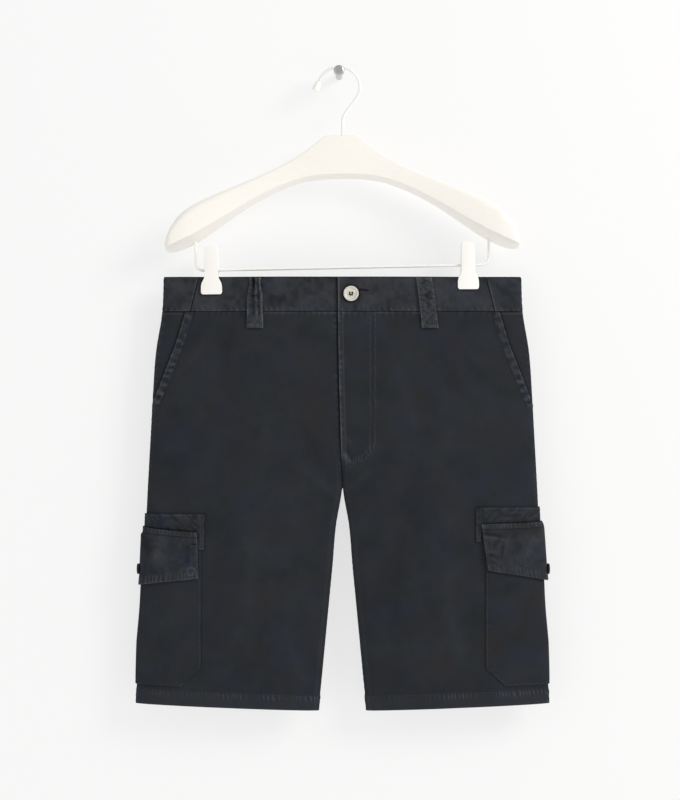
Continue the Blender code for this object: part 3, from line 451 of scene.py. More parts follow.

# %% [markdown]
# ## Creases placed one by one
# The band is held up at two points, so the cloth hangs from them in shallow drag lines, and the
# garment keeps the creases it dried with. Each one is set: where it lies, how long, wide and
# high it is, which way it leans and how much it bends. No two are the same. The back has as many.

# %% Creases placed one by one
Crease = namedtuple("Crease", "face x z half_length half_width height lean bend")
CREASES = (
    Crease(-1, 0.052, -0.030, 0.022, 0.0026, -0.0009, 2.6, 6.0),      # out from the button
    Crease(-1, 0.038, -0.022, 0.015, 0.0022, 0.0007, 2.9, -3.0),
    Crease(-1, 0.030, -0.052, 0.020, 0.0050, 0.0008, 1.1, 4.0),
    Crease(-1, -0.080, -0.026, 0.020, 0.0024, -0.0008, -1.9, 5.0),    # out from the loops
    Crease(-1, -0.068, -0.034, 0.014, 0.0020, 0.0006, -1.5, -4.0),
    Crease(-1, 0.120, -0.031, 0.016, 0.0024, -0.0006, 1.6, 4.0),
    Crease(-1, -0.132, -0.030, 0.013, 0.0030, 0.0006, 0.9, 6.0),
    Crease(-1, -0.176, -0.092, 0.034, 0.0060, 0.0010, 0.8, -5.0),     # down from the clips
    Crease(-1, -0.138, -0.088, 0.040, 0.0070, -0.0009, 0.2, 3.0),
    Crease(-1, -0.092, -0.190, 0.060, 0.0090, 0.0010, 0.25, 2.0),
    Crease(-1, -0.036, -0.205, 0.044, 0.0060, -0.0008, -0.5, 4.0),    # into the crotch
    Crease(-1, -0.028, -0.246, 0.030, 0.0050, 0.0011, -1.2, 5.0),
    Crease(-1, 0.024, -0.240, 0.028, 0.0050, 0.0010, 1.3, -4.0),
    Crease(-1, 0.046, -0.222, 0.038, 0.0070, -0.0008, 0.7, 3.0),
    Crease(-1, 0.078, -0.150, 0.050, 0.0080, 0.0009, -0.3, -2.0),
    Crease(-1, 0.128, -0.118, 0.038, 0.0070, -0.0010, -0.5, 4.0),
    Crease(-1, 0.160, -0.100, 0.032, 0.0060, 0.0009, -0.9, 3.0),
    Crease(-1, 0.066, -0.350, 0.070, 0.0090, -0.0010, 0.1, 1.0),
    Crease(-1, 0.128, -0.400, 0.060, 0.0080, 0.0010, -0.15, 2.0),
    Crease(-1, -0.112, -0.372, 0.066, 0.0090, 0.0010, 0.12, -2.0),
    Crease(-1, -0.060, -0.452, 0.036, 0.0070, 0.0008, -0.3, 3.0),
    Crease(1, 0.150, -0.094, 0.040, 0.0070, 0.0012, -0.6, 3.0),
    Crease(1, 0.098, -0.112, 0.050, 0.0080, -0.0010, -0.3, 2.0),
    Crease(1, 0.036, -0.240, 0.036, 0.0060, 0.0014, 1.1, 4.0),
    Crease(1, 0.052, -0.214, 0.044, 0.0070, -0.0010, 0.8, -3.0),
    Crease(1, -0.030, -0.236, 0.034, 0.0060, 0.0013, -1.2, 5.0),
    Crease(1, -0.058, -0.196, 0.048, 0.0080, -0.0011, -0.6, 2.0),
    Crease(1, -0.108, -0.122, 0.056, 0.0080, 0.0012, 0.35, -3.0),
    Crease(1, -0.156, -0.086, 0.034, 0.0060, -0.0009, 0.8, 4.0),
    Crease(1, 0.014, -0.120, 0.060, 0.0090, 0.0010, 0.1, 2.0),
    Crease(1, 0.070, -0.362, 0.070, 0.0090, 0.0011, -0.1, 1.5),
    Crease(1, 0.140, -0.310, 0.052, 0.0080, -0.0010, 0.2, -2.0),
    Crease(1, -0.078, -0.332, 0.060, 0.0090, -0.0010, 0.15, 2.0),
    Crease(1, -0.132, -0.424, 0.054, 0.0080, 0.0010, -0.2, 3.0),
)


def crease_height(face, x, z):
    """Height of every crease at a point: sharp along the middle, fading to both ends."""
    total = 0.0
    for crease in CREASES:
        if crease.face == face:
            fall = z - crease.z
            across = x - crease.x - crease.lean * fall - crease.bend * fall * fall
            across = across / (crease.half_width * np.sqrt(1 + crease.lean**2))
            along = fall * np.sqrt(1 + crease.lean**2) / crease.half_length
            total = total + crease.height * np.exp(-np.abs(across)**1.5 - along**4)
    return total


def unevenness(face, x, z):
    """The slight buckle of cloth that was washed and dried: broad swells and small dents."""
    shift = 0.37 if face > 0 else 0.0
    broad = wander_area(x + shift, z, 27 * MM, 11)
    small = wander_area(x + shift, z * 0.8, 9 * MM, 12)
    fine = wander_area(x + shift, z, 4.2 * MM, 13)
    return 0.40 * MM * broad + 0.16 * MM * small + 0.05 * MM * fine


print(len(CREASES), "creases")

# %% [markdown]
# ## One wall for every piece of cloth
# Every piece is cut from the same cloth, so every piece is built by the same three steps: lay a fine
# grid on the form, move its points along the surface for seams and puckers, and close it into a wall
# of the cloth's real thickness. The grid is fine at the edges, where the seams are, and coarser
# between them. The wall carries its own UV map in metres and the three painted numbers.

# %% Rows on the form
def stations(length, fine, coarse, reach):
    """Places from 0 to 1 along a length: fine steps near both ends, coarse ones between."""
    spot = np.linspace(0, length, 4000)
    edge = np.minimum(spot, length - spot)
    step = fine + (coarse - fine) * smooth_step(edge / reach)
    count = np.concatenate([[0], np.cumsum((spot[1] - spot[0]) / step[1:])])
    steps = int(np.ceil(count[-1]))
    return np.interp(np.linspace(0, count[-1], steps + 1), count, spot) / length


def dressed(side, face, share, z, gap=HALF_SEAM):
    """The form with its creases and unevenness; these fade out at side seam, inseam and clips."""
    points = form(side, face, share, z, gap)
    share, z = np.broadcast_arrays(np.asarray(share, float), np.asarray(z, float))
    x = points[..., 0]
    free = 1 - np.exp(-((np.abs(x) - CLIP_X) / 0.020)**2) * smooth_step((z + 0.075) / 0.03)
    fade = np.sqrt(np.maximum(1 - share**6, 0))
    fade = fade * (1 - leg_share(z) * (1 - np.sqrt(np.maximum(1 - (1 - share)**6, 0))))
    lift = (crease_height(face, x, z) + unevenness(face, x, z)) * free * fade
    points[..., 1] += face * lift
    return points


def resampled(dense, places):
    """Each dense row of points read again at even places along its own length."""
    grid = np.empty((len(dense), len(places), 3))
    length = np.zeros(len(dense))
    for r, row in enumerate(dense):
        arc = np.concatenate([[0], np.cumsum(np.linalg.norm(np.diff(row, axis=0), axis=1))])
        length[r] = arc[-1]
        for axis in range(3):
            grid[r, :, axis] = np.interp(places * arc[-1], arc, row[:, axis])
    return grid, places[None, :] * length[:, None]


def outward(grid):
    """Unit normals of a grid whose rows run anticlockwise as seen from above, top row first."""
    down = np.gradient(grid, axis=0)
    along = np.gradient(grid, axis=1)
    normal = np.cross(down, along)
    return normal / np.maximum(np.linalg.norm(normal, axis=-1, keepdims=True), 1e-12)


EVEN = (1 - np.cos(pi * np.arange(301) / 300)) / 2      # shares that round both ends finely
print("stations for 0.2 m:", len(stations(0.2, 0.6 * MM, 2.0 * MM, 0.02)))


# %% The wall
CLOTH = 1.2 * MM           # one layer, as the solids have it


def cloth_wall(name, grid, lift, thickness, uv, wear, shade_and_dye, bluish, material=TWILL):
    """A closed wall behind a lifted grid, smooth shaded, with its UV map and paint."""
    rows, columns = grid.shape[:2]
    size = rows * columns
    outer = grid + outward(grid) * np.broadcast_to(lift, (rows, columns))[..., None]
    inner = outer - outward(outer) * np.broadcast_to(thickness, (rows, columns))[..., None]
    points = np.concatenate([outer.reshape(-1, 3), inner.reshape(-1, 3)]) + GARMENT_AT
    index = np.arange(size).reshape(rows, columns)
    a, b, d, e = index[:-1, :-1], index[:-1, 1:], index[1:, :-1], index[1:, 1:]
    front = np.stack([a, d, e, b], -1).reshape(-1, 4)
    back = np.stack([a, b, e, d], -1).reshape(-1, 4) + size
    rim = np.concatenate([index[:, 0], index[-1, 1:], index[-2::-1, -1], index[0, -2:0:-1]])
    after = np.roll(rim, -1)
    sides = np.stack([rim, rim + size, after + size, after], -1)
    faces = np.concatenate([front, back, sides])

    mesh = bpy.data.meshes.new(name)
    mesh.vertices.add(len(points))
    mesh.vertices.foreach_set("co", points.ravel())
    mesh.loops.add(faces.size)
    mesh.loops.foreach_set("vertex_index", faces.ravel())
    mesh.polygons.add(len(faces))
    mesh.polygons.foreach_set("loop_start", np.arange(0, faces.size, 4))
    mesh.update(calc_edges=True)
    mesh.shade_smooth()
    mesh.set_sharp_from_angle(angle=radians(55))
    flat = np.concatenate([uv.reshape(-1, 2), uv.reshape(-1, 2)])
    mesh.uv_layers.new(name="cloth").data.foreach_set("uv", flat[faces.ravel()].ravel())
    for label, value in (("wear", wear), ("shade_and_dye", shade_and_dye), ("bluish", bluish)):
        shown = unit(np.broadcast_to(value, (rows, columns))).ravel()
        hidden = shown * 0.5
        layer = mesh.attributes.new(label, "FLOAT", "POINT")
        layer.data.foreach_set("value", np.concatenate([shown, hidden]).astype(np.float32))
    made = add_object(name, mesh)
    mesh.materials.append(material)
    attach(made, "root")
    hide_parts(name)
    return made


print("wall builder ready")

# %% [markdown]
# ## Front and back panels
# Each leg is a front and a back panel. A panel is sewn to the waistband at its top, to its neighbour
# at the centre and to the other panel of the leg at both sides, and its foot is turned up and
# stitched 17 mm above the edge. Every one of those lines is puckered, with the dye rubbed off the
# ridges. The front panel stops at the slanted pocket mouth, whose edge is stitched 10 mm in.

# %% Panel outline
def slant_share(side, z):
    """Share at which the front panel ends: the pocket mouth, then the side seam."""
    reach = share_at(side, -1, curve_values(HIP_SLANT, z, "x"), z)
    return np.where(z <= HIP_SLANT[-1].z, 1.0, np.minimum(reach, 1.0))


def panel_grid(side, face, heights, places):
    """Points of a panel, how far each is from its inner and its outer edge, and its height."""
    dense = []
    for z in heights:
        limit = float(slant_share(side, z)) if face < 0 else 1.0
        row = dressed(side, face, EVEN * limit, z)
        dense.append(row if side * face < 0 else row[::-1])
    grid, arc = resampled(dense, places)
    width = arc[:, -1:]
    inner = arc if side * face < 0 else width - arc
    return grid, inner, width - inner, np.broadcast_to(heights[:, None], inner.shape)


# %% Panel seams
HEM_BAND = 18.5 * MM


def panel_seams(side, face, grid, inner, outer, z, seed):
    """Lift along the surface, wear, painted shade and blue drift of a panel's seams."""
    x = grid[..., 0]
    lift, wear, shade_and_dye = np.zeros_like(z), np.zeros_like(z), np.zeros_like(z)
    blue = 0.35 * unit(wander_area(x, z, 16 * MM, seed + 40))

    down = -BAND_DEPTH - z                        # the waist seam
    ridge = pucker(x, down, 7.5 * MM, seed, slant=0.15)
    patchy = unit(0.30 + 0.75 * wander(x, 24 * MM, seed + 3))
    lift += 0.42 * MM * ridge * near(down - 2 * MM, 7 * MM)
    wear += (0.10 + 0.26 * patchy) * unit(ridge) * near(down - 2.5 * MM, 3.5 * MM)
    wear += 0.62 * near(down - 2.0 * MM, 0.9 * MM) * patchy
    # Painted shadow under the band's lower edge and painted shade in the puckers' hollows.
    shade_and_dye += 0.75 * near(down, 1.2 * MM)
    shade_and_dye += 0.30 * unit(-ridge) * near(down - 3 * MM, 3 * MM)

    foot = z - HEM_Z                              # the hem, with its roped turn-up
    rope = pucker(x, foot, 4.8 * MM, seed + 5, slant=0.12)
    stitched = near(foot - HEM_BAND + 3.5 * MM, 3.6 * MM)
    patchy = unit(0.45 + 0.65 * wander(x, 22 * MM, seed + 7))
    inside = smooth_step((HEM_BAND - foot) / (1.2 * MM))
    lift += inside * (0.75 * MM + 0.34 * MM * rope * (0.15 + 0.85 * stitched))
    lift -= 0.30 * MM * near(foot - HEM_BAND - 0.6 * MM, 1.0 * MM)
    wear += 0.70 * inside * unit(rope) * stitched * patchy
    wear += 0.06 * inside + 0.22 * near(foot, 1.3 * MM) * patchy
    # Painted shade along the top of the hem band and in the rope's hollows.
    shade_and_dye += 0.40 * near(foot - HEM_BAND - 0.8 * MM, 0.9 * MM)
    shade_and_dye += 0.30 * inside * unit(-rope) * stitched
    blue += 0.35 * inside * unit(wander(x, 12 * MM, seed + 6))

    on_side = np.ones_like(z)
    if face < 0:                                  # the slanted pocket mouth
        on_side = smooth_step((HIP_SLANT[-1].z - z) / (8 * MM))
        mouth = 1 - on_side
        rope = pucker(z, outer, 9.5 * MM, seed + 8, slant=0.35)
        strip = mouth * smooth_step((10 * MM - outer) / (1.5 * MM))
        lift += strip * (0.45 * MM + 0.42 * MM * rope)
        lift -= mouth * 0.40 * MM * near(outer - 10.6 * MM, 1.2 * MM)
        blotch = wander_area(outer, z, 4.5 * MM, seed + 10)
        wear += strip * (0.50 * unit(rope) + 0.30 * unit(blotch))
        wear += 0.55 * mouth * near(outer, 1.2 * MM) * (0.7 + 0.3 * rope)
        # Painted shade beside the mouth's stitching and in the rope's hollows, with darker dye
        # blotches.
        shade_and_dye += 0.45 * mouth * near(outer - 10.8 * MM, 1.0 * MM) * (0.5 - 0.5 * rope)
        shade_and_dye += strip * (0.50 * unit(-rope) + 0.3 * unit(-blotch))
        blue += strip * 0.9 * unit(wander(z, 9 * MM, seed + 9))

    wave = pucker(z, outer, 8.5 * MM, seed + 11)  # the side seam
    lift += on_side * 0.36 * MM * wave * near(outer - 4 * MM, 6 * MM)
    wear += on_side * 0.30 * unit(wave) * near(outer - 2.5 * MM, 3 * MM)
    if face > 0:
        wear += 0.30 * near(outer - 6.5 * MM, 0.9 * MM)
    # Painted shade along the side seam.
    shade_and_dye += on_side * 0.5 * near(outer, 1.2 * MM)

    wave = pucker(z, inner, 8.0 * MM, seed + 13)  # centre seam above, inseam below
    wide = 6 * MM if face > 0 else 4 * MM
    lift += 0.34 * MM * wave * near(inner - 3 * MM, wide)
    rubbed = 1.0 if face > 0 else 1 - 0.65 * leg_share(z)
    wear += 0.42 * rubbed * unit(wave) * near(inner - 2 * MM, 2.5 * MM)
    wear += 0.30 * near(inner - 6.5 * MM, 0.9 * MM) * (1.0 if face > 0 else 0.3 * leg_share(z))
    # Painted shade along the seat seam, and beside the fly's lap on the wearer's right front.
    if face > 0:
        shade_and_dye += 0.65 * near(inner, 1.3 * MM)
    elif side < 0:                                # in the shade of the fly's lap
        above = 1 - leg_share(z)
        shade_and_dye += 0.65 * near(inner, 1.3 * MM) + 0.9 * above * near(inner, 2.6 * MM)
    return lift, wear, shade_and_dye, blue


# %% The fly's stitching on the wearer's left front
J_REACH = 0.0385          # the long stitch line's distance from the fly's edge
J_TURN_Z = -0.196
J_END_Z = -0.2250


def j_line(z):
    """Distance of the J-shaped stitching from the centre line at a height."""
    bend = unit((J_TURN_Z - z) / (J_TURN_Z - J_END_Z))
    return J_REACH - (J_REACH - 1 * MM) * (1 - np.sqrt(1 - bend**2 * 0.9999))


def fly_detail(grid, inner, z, lift, wear, shade_and_dye, blue):
    """Two close rows of stitching down the fly, its lapped edge, and the drawn cloth below."""
    x = grid[..., 0]
    on = smooth_step((z - J_END_Z) / (2 * MM))
    slope = np.gradient(j_line(z[:, 0]), z[:, 0])[:, None]
    away = (j_line(z) - x) / np.sqrt(1 + np.clip(slope, -4, 4)**2)
    wave = pucker(z + x, away, 7.0 * MM, 71, slant=0.4)
    lift += on * 0.26 * MM * wave * near(away, 5 * MM)
    lift -= on * 0.30 * MM * (near(away, 1.0 * MM) + near(away - 5.5 * MM, 1.0 * MM))
    wear += on * 0.34 * near(away + 0.3 * MM, 0.8 * MM) * (0.55 + 0.45 * wave)
    wear += on * 0.22 * near(away - 5.3 * MM, 0.8 * MM) * (0.5 + 0.5 * wave)
    # Painted shade beside the stitch line, and further down in the hollows of the tacked and curved
    # puckers.
    shade_and_dye += on * 0.35 * near(away - 1.4 * MM, 0.9 * MM)
    lap = smooth_step((z - J_END_Z - 4 * MM) / (6 * MM))
    lift += lap * 0.6 * MM * smooth_step((3.5 * MM - inner) / (2.5 * MM))
    wear += lap * 0.65 * near(inner - 0.5 * MM, 1.2 * MM) * (0.6 + 0.4 * wander(z, 7 * MM, 72))
    wear += lap * 0.20 * near(inner - 5.5 * MM, 0.9 * MM)
    drawn = near(z + 0.214, 16 * MM) * near(x - 8 * MM, 15 * MM)
    fan = pucker(z, x, 6.4 * MM, 73, slant=0.5)
    lift += 0.34 * MM * fan * drawn
    wear += 0.22 * unit(fan) * drawn
    tacked = near(z + 0.211, 13 * MM) * near(x - 6 * MM, 5 * MM)
    ticks = pucker(z, x, 3.1 * MM, 75, slant=0.15)
    lift += 0.16 * MM * ticks * tacked
    wear += 0.75 * unit(ticks) * tacked
    shade_and_dye += 0.35 * unit(-ticks) * tacked
    curved = on * smooth_step((J_TURN_Z - z) / (5 * MM)) * near(away - 2.5 * MM, 3.4 * MM)
    ticks = pucker(x - z, away, 3.3 * MM, 76)
    wear += 0.65 * unit(ticks) * curved
    shade_and_dye += 0.25 * unit(-ticks) * curved
    blue += 0.5 * drawn * unit(wander_area(x, z, 7 * MM, 74))
    return lift, wear, shade_and_dye, blue


# %% Build the panels
def crease_wear_and_shade(face, x, z):
    """Cloth rubs pale along the sharper ridges; the valleys get painted shade."""
    height = crease_height(face, x, z) / MM
    return 0.05 * unit(height), 0.16 * unit(-height)


TUCK = 2.0 * MM            # the panels' raw edge, folded up inside the waistband
TOP_Z = -BAND_DEPTH + TUCK


def tucked(z):
    """How far the raw edge steps back to lie inside the folded band."""
    return 1.15 * MM * smooth_step((z + BAND_DEPTH + 0.6 * MM) / (0.8 * MM))


PANEL_WIDTH = 0.235
PANEL_ROWS = TOP_Z + (HEM_Z - TOP_Z) * stations(TOP_Z - HEM_Z, 0.9 * MM, 3.5 * MM, 0.030)


def panel(word, side, face, coarse, seed):
    name = f"{'front' if face < 0 else 'back'}_panel_{word}"
    places = stations(PANEL_WIDTH, 0.55 * MM, coarse, 0.028)
    grid, inner, outer, z = panel_grid(side, face, PANEL_ROWS, places)
    lift, wear, shade_and_dye, blue = panel_seams(side, face, grid, inner, outer, z, seed)
    if face < 0 < side:
        lift, wear, shade_and_dye, blue = fly_detail(grid, inner, z, lift, wear, shade_and_dye, blue)
    rubbed, crease_shade = crease_wear_and_shade(face, grid[..., 0], z)
    hem = smooth_step((HEM_Z + HEM_BAND - z) / (1.5 * MM))
    uv = np.stack([inner, -z], -1)
    return cloth_wall(name, grid, lift - tucked(z), (1.2 + 1.2 * hem) * MM, uv, wear + rubbed,
                      shade_and_dye + crease_shade, blue)


panels = {}
for word, side in (("left", 1), ("right", -1)):
    panels[f"front_{word}"] = panel(word, side, -1, 2.0 * MM, 100 + side)
    panels[f"back_{word}"] = panel(word, side, 1, 2.3 * MM, 200 + side)
print({name: len(made.data.polygons) for name, made in panels.items()})

# %% [markdown]
# ## Waistband
# The waistband is a folded double strip: one piece on each side of the fly and one that runs round
# the back from join to join. It is stitched along its lower edge, where it stands a little proud of
# the panels. The pull of the clips, the button and the loops shows as short drag lines.

# %% Waistband details
BAND_PROUD = 0.4 * MM
BAND_THICK = 2.4 * MM
BACK_LENGTH = 0.540
BUTTON_X = 0.0102
BUTTON_Z = -0.0204
BUTTON_RADIUS = 0.0091
BUTTONHOLE = (0.0198, 0.0318, -0.0156)    # from, to, height


def band_seams(along, z, seed):
    """Puckers, wear and painted shade of a strip that is stitched along its lower edge."""
    up = z + BAND_DEPTH
    ridge = pucker(along, up, 7.0 * MM, seed, slant=0.2)
    lift = 0.34 * MM * ridge * near(up - 1 * MM, 6 * MM)
    lift = lift - 0.7 * MM * near(up, 0.9 * MM) - 0.7 * MM * near(z, 0.9 * MM)
    lift = lift + 0.20 * MM * pucker(along, z, 10 * MM, seed + 1, slant=0.3) * near(z, 9 * MM)
    patchy = unit(0.35 + 0.7 * wander(along, 19 * MM, seed + 7))
    wear = (0.08 + 0.22 * patchy) * unit(ridge) * near(up - 1.5 * MM, 3 * MM)
    wear = wear + 0.20 * near(up - 0.7 * MM, 0.8 * MM) * patchy
    blotch = wander_area(along, z, 14 * MM, seed + 2) + 0.7 * wander_area(along, z, 5 * MM, seed + 8)
    wear = wear + 0.13 + 0.09 * blotch
    # Painted shade in the puckers' hollows and along the folded top edge, with darker dye blotches.
    shade_and_dye = 0.26 * unit(-ridge) * near(up - 2 * MM, 4 * MM) + 0.6 * near(z, 0.8 * MM)
    shade_and_dye = shade_and_dye + 0.22 * unit(-blotch - 0.25)
    blue = 0.8 * unit(wander_area(along, z, 8 * MM, seed + 4)) * near(up, 9 * MM)
    blue = blue + 0.3 * unit(wander_area(along, z, 17 * MM, seed + 5))
    return lift, wear, shade_and_dye, blue


BAND_ROWS = -BAND_DEPTH * stations(BAND_DEPTH, 0.45 * MM, 1.1 * MM, 0.008)
BAND_PLACES = stations(0.180, 0.5 * MM, 1.1 * MM, 0.006)


def slit(lift, wear, shade_and_dye, x, z):
    """The buttonhole: a cut with painted shade in it, between two ridges of close stitching."""
    start, stop, height = BUTTONHOLE
    along = smooth_step((x - start) / (0.8 * MM)) * smooth_step((stop - x) / (0.8 * MM))
    away = np.abs(z - height + 0.10 * (x - start))
    ends = smooth_step((x - start + 1.6 * MM) / MM) * smooth_step((stop + 1.6 * MM - x) / MM)
    ridge = ends * near(away - 1.7 * MM, 0.8 * MM)
    cut = along * near(away, 1.5 * MM)
    return lift + 0.45 * MM * ridge - 0.7 * MM * cut, wear + 0.12 * ridge, shade_and_dye + 0.95 * cut


def waistband_front(word, side, seed):
    dense = []
    for z in BAND_ROWS:
        limit = float(share_at(side, -1, curve_values(BAND_JOIN, z, "x"), z))
        row = dressed(side, -1, limit * np.linspace(0, 1, 240), z)
        dense.append(row if side > 0 else row[::-1])
    grid, arc = resampled(dense, BAND_PLACES)
    x, z = grid[..., 0], np.broadcast_to(BAND_ROWS[:, None], arc.shape)
    lift, wear, shade_and_dye, blue = band_seams(x, z, seed)
    join = arc[:, -1:] - arc if side > 0 else arc
    front = arc if side > 0 else arc[:, -1:] - arc
    lift = lift + 0.22 * MM * pucker(z, join, 7 * MM, seed + 6) * near(join - 2 * MM, 4 * MM)
    wear = wear + 0.20 * near(join - 1.0 * MM, 0.8 * MM)
    # Painted shade along the join.
    shade_and_dye = shade_and_dye + 0.9 * near(join, 1.3 * MM)
    if side > 0:
        lift, wear, shade_and_dye = slit(lift, wear, shade_and_dye, x, z)
        wear = wear + 0.50 * near(front - 0.8 * MM, 1.1 * MM)
        # Painted shadow round the button.
        rim = np.hypot(x - BUTTON_X, z - BUTTON_Z) - BUTTON_RADIUS
        shade_and_dye = shade_and_dye + 0.85 * near(np.maximum(rim, 0), 1.7 * MM)
        lift = lift - 0.6 * MM * near(rim, 3 * MM)
    else:                                         # in the shade of the lapped end
        shade_and_dye = shade_and_dye + 0.95 * near(front, 2.8 * MM)
    rubbed, crease_shade = crease_wear_and_shade(-1, x, z)
    return cloth_wall(f"waistband_{word}", grid, lift + BAND_PROUD, BAND_THICK,
                      np.stack([-z, x], -1), wear + 1.6 * rubbed, shade_and_dye + 1.3 * crease_shade, blue)


def waistband_back(seed):
    dense = []
    for z in BAND_ROWS:
        runs = []
        for side in (1, -1):
            limit = float(share_at(side, -1, curve_values(BAND_JOIN, z, "x") + 0.3 * MM, z))
            front = limit + (1 - limit) * np.sin(pi / 2 * np.linspace(0, 1, 60))
            run = np.concatenate([dressed(side, -1, front, z),
                                  dressed(side, 1, EVEN[:0:-1], z)])
            runs.append(run if side > 0 else run[::-1])
        dense.append(np.concatenate(runs))
    places = stations(BACK_LENGTH, 0.5 * MM, 1.5 * MM, 0.006)
    grid, arc = resampled(dense, places)
    z = np.broadcast_to(BAND_ROWS[:, None], arc.shape)
    lift, wear, shade_and_dye, blue = band_seams(arc, z, seed)
    for end, spot in ((arc, 61), (arc[:, -1:] - arc, 63)):
        lift = lift + 0.22 * MM * pucker(z, end, 7 * MM, seed + spot) * near(end - 2 * MM, 4 * MM)
        wear = wear + 0.34 * near(end - 0.8 * MM, 0.9 * MM)
        # Painted shade along both ends.
        shade_and_dye = shade_and_dye + 0.6 * near(end, 0.7 * MM)
    rubbed, crease_shade = crease_wear_and_shade(1, grid[..., 0], z)
    return cloth_wall("waistband_back", grid, lift + BAND_PROUD, BAND_THICK,
                      np.stack([-z, arc], -1), wear + rubbed, shade_and_dye + crease_shade, blue)


bands = {"left": waistband_front("left", 1, 300), "right": waistband_front("right", -1, 310),
         "back": waistband_back(320)}
print("waistband pieces:", sorted(bands))

# %% [markdown]
# ## Hip pockets and the fly's hidden strips
# Behind each slanted mouth lies the side piece of the hip pocket, which shows as the corner of the
# hip. Behind the fly lie the zip's woven tape and a plain cloth shield. Those two are hidden, so
# they are finished plainly.

# %% Hip pockets
HIP_TUCK = 0.070
HIP_BOTTOM_Z = -0.178
HIP_COVERED_Z = -0.146
HIP_UNDER = 1.8 * MM
HIP_LENGTH = 0.137
HIP_WIDTH = 0.066


def hip_pocket(word, side, seed):
    heights = TOP_Z + (HIP_BOTTOM_Z - TOP_Z) * stations(HIP_LENGTH, 0.9 * MM, 2.0 * MM, 0.012)
    dense, covers = [], []
    for z in heights:
        cover = float(smooth_step((HIP_COVERED_Z - z) / 0.012))
        first = min(float(slant_share(side, z)) - HIP_TUCK, 0.86)
        last = 1 - 0.045 * cover
        share = first + (last - first) * np.sin(pi / 2 * np.linspace(0, 1, 120))
        row = dressed(side, -1, share, z)
        dense.append(row if side > 0 else row[::-1])
        covers.append(cover)
    grid, arc = resampled(dense, stations(HIP_WIDTH, 0.6 * MM, 1.6 * MM, 0.010))
    z = np.broadcast_to(heights[:, None], arc.shape)
    outer = arc[:, -1:] - arc if side > 0 else arc
    cover = np.array(covers)[:, None]
    seam = near(outer, 3.0 * MM) * (1 - smooth_step(cover / 0.1))
    wave = pucker(z, outer, 9 * MM, seed)
    down = -BAND_DEPTH - z
    lift = -HIP_UNDER * (1 - seam) + (0.18 * MM * wave * near(outer - 4 * MM, 5 * MM)) * (1 - cover)
    wear = 0.25 * unit(wave) * near(outer - 2 * MM, 3 * MM) + 0.12 * near(outer, 1.5 * MM)
    wear = wear + 0.25 * near(down - 2.5 * MM, 1.0 * MM)
    reach = curve_values(HIP_SLANT, z, "x") - np.abs(grid[..., 0])
    # Painted shade under the front panel's slanted edge and under the band.
    shade_and_dye = 0.7 * near(np.minimum(reach + 1.0 * MM, 0), 1.4 * MM) + 0.6 * near(down, 1.2 * MM)
    blue = 0.4 * unit(wander_area(outer, z, 15 * MM, seed + 2))
    return cloth_wall(f"hip_pocket_{word}", grid, lift, CLOTH, np.stack([outer, -z], -1), wear,
                      shade_and_dye, blue)


hips = {"left": hip_pocket("left", 1, 400), "right": hip_pocket("right", -1, 410)}


# %% Zip tape and shield
ZIP_SHARE = 0.0495        # the tape ends at this share of the left front
SHIELD_SHARE = 0.1091     # the shield reaches this far on both fronts
FLY_BOTTOM_Z = -0.1860


def fly_strip(name, top_z, left, right, high, thickness, material):
    """A plain strip that keeps behind the lapped fronts."""
    heights = np.linspace(top_z, FLY_BOTTOM_Z + 2 * MM, 60)
    dense = []
    for z in heights:
        row = [dressed(1, -1, np.linspace(0.0, left, 30), z)]
        if right:
            row.insert(0, dressed(-1, -1, np.linspace(right, 0.0125, 30), z))
        dense.append(np.concatenate(row))
    grid, arc = resampled(dense, np.linspace(0, 1, 22))
    z = np.broadcast_to(heights[:, None], arc.shape)
    made = cloth_wall(name, grid, high, thickness, np.stack([arc, -z], -1), 0.1, 0.2, 0.0,
                      material)
    return made


zip_tape = fly_strip("fly_zip", -0.0450, ZIP_SHARE, 0.0, -1.5 * MM, 0.9 * MM, ZIP_TAPE)
shield = fly_strip("fly_shield", -0.0020, SHIELD_SHARE, SHIELD_SHARE, -2.7 * MM, 1.2 * MM,
                   TWILL)
print("hip pockets and fly strips are in")

# %% [markdown]
# ## Belt loops
# A loop is a narrow strip, folded lengthwise and edge-stitched on both sides, with its ends sewn
# down through the waistband by dense bar tacks. Worn edges are the palest places on the garment. The
# wearer's right front loop is pinched at its top, and the hollow of the fold gets painted shade.

# %% Belt loop builder
LOOP_WIDTH = 0.0190
LOOP_THICK = 1.8 * MM
LOOP_GRID = (90, 33)      # rows and columns of points
LOOP_BOTTOM_Z = -0.0620
LOOP_TOP_Z = -0.0008
Loop = namedtuple("Loop", "name face x lean pinch")
LOOPS = (
    Loop("belt_loop_front_left", -1, 0.0972, 0.0072, 0.0),
    Loop("belt_loop_front_right", -1, -0.1044, 0.0, 1.0),
    Loop("belt_loop_back_left", 1, 0.1000, 0.0020, 0.15),
    Loop("belt_loop_back_right", 1, -0.1000, -0.0020, 0.3),
    Loop("belt_loop_back_middle", 1, 0.0, 0.0, 0.0),
)


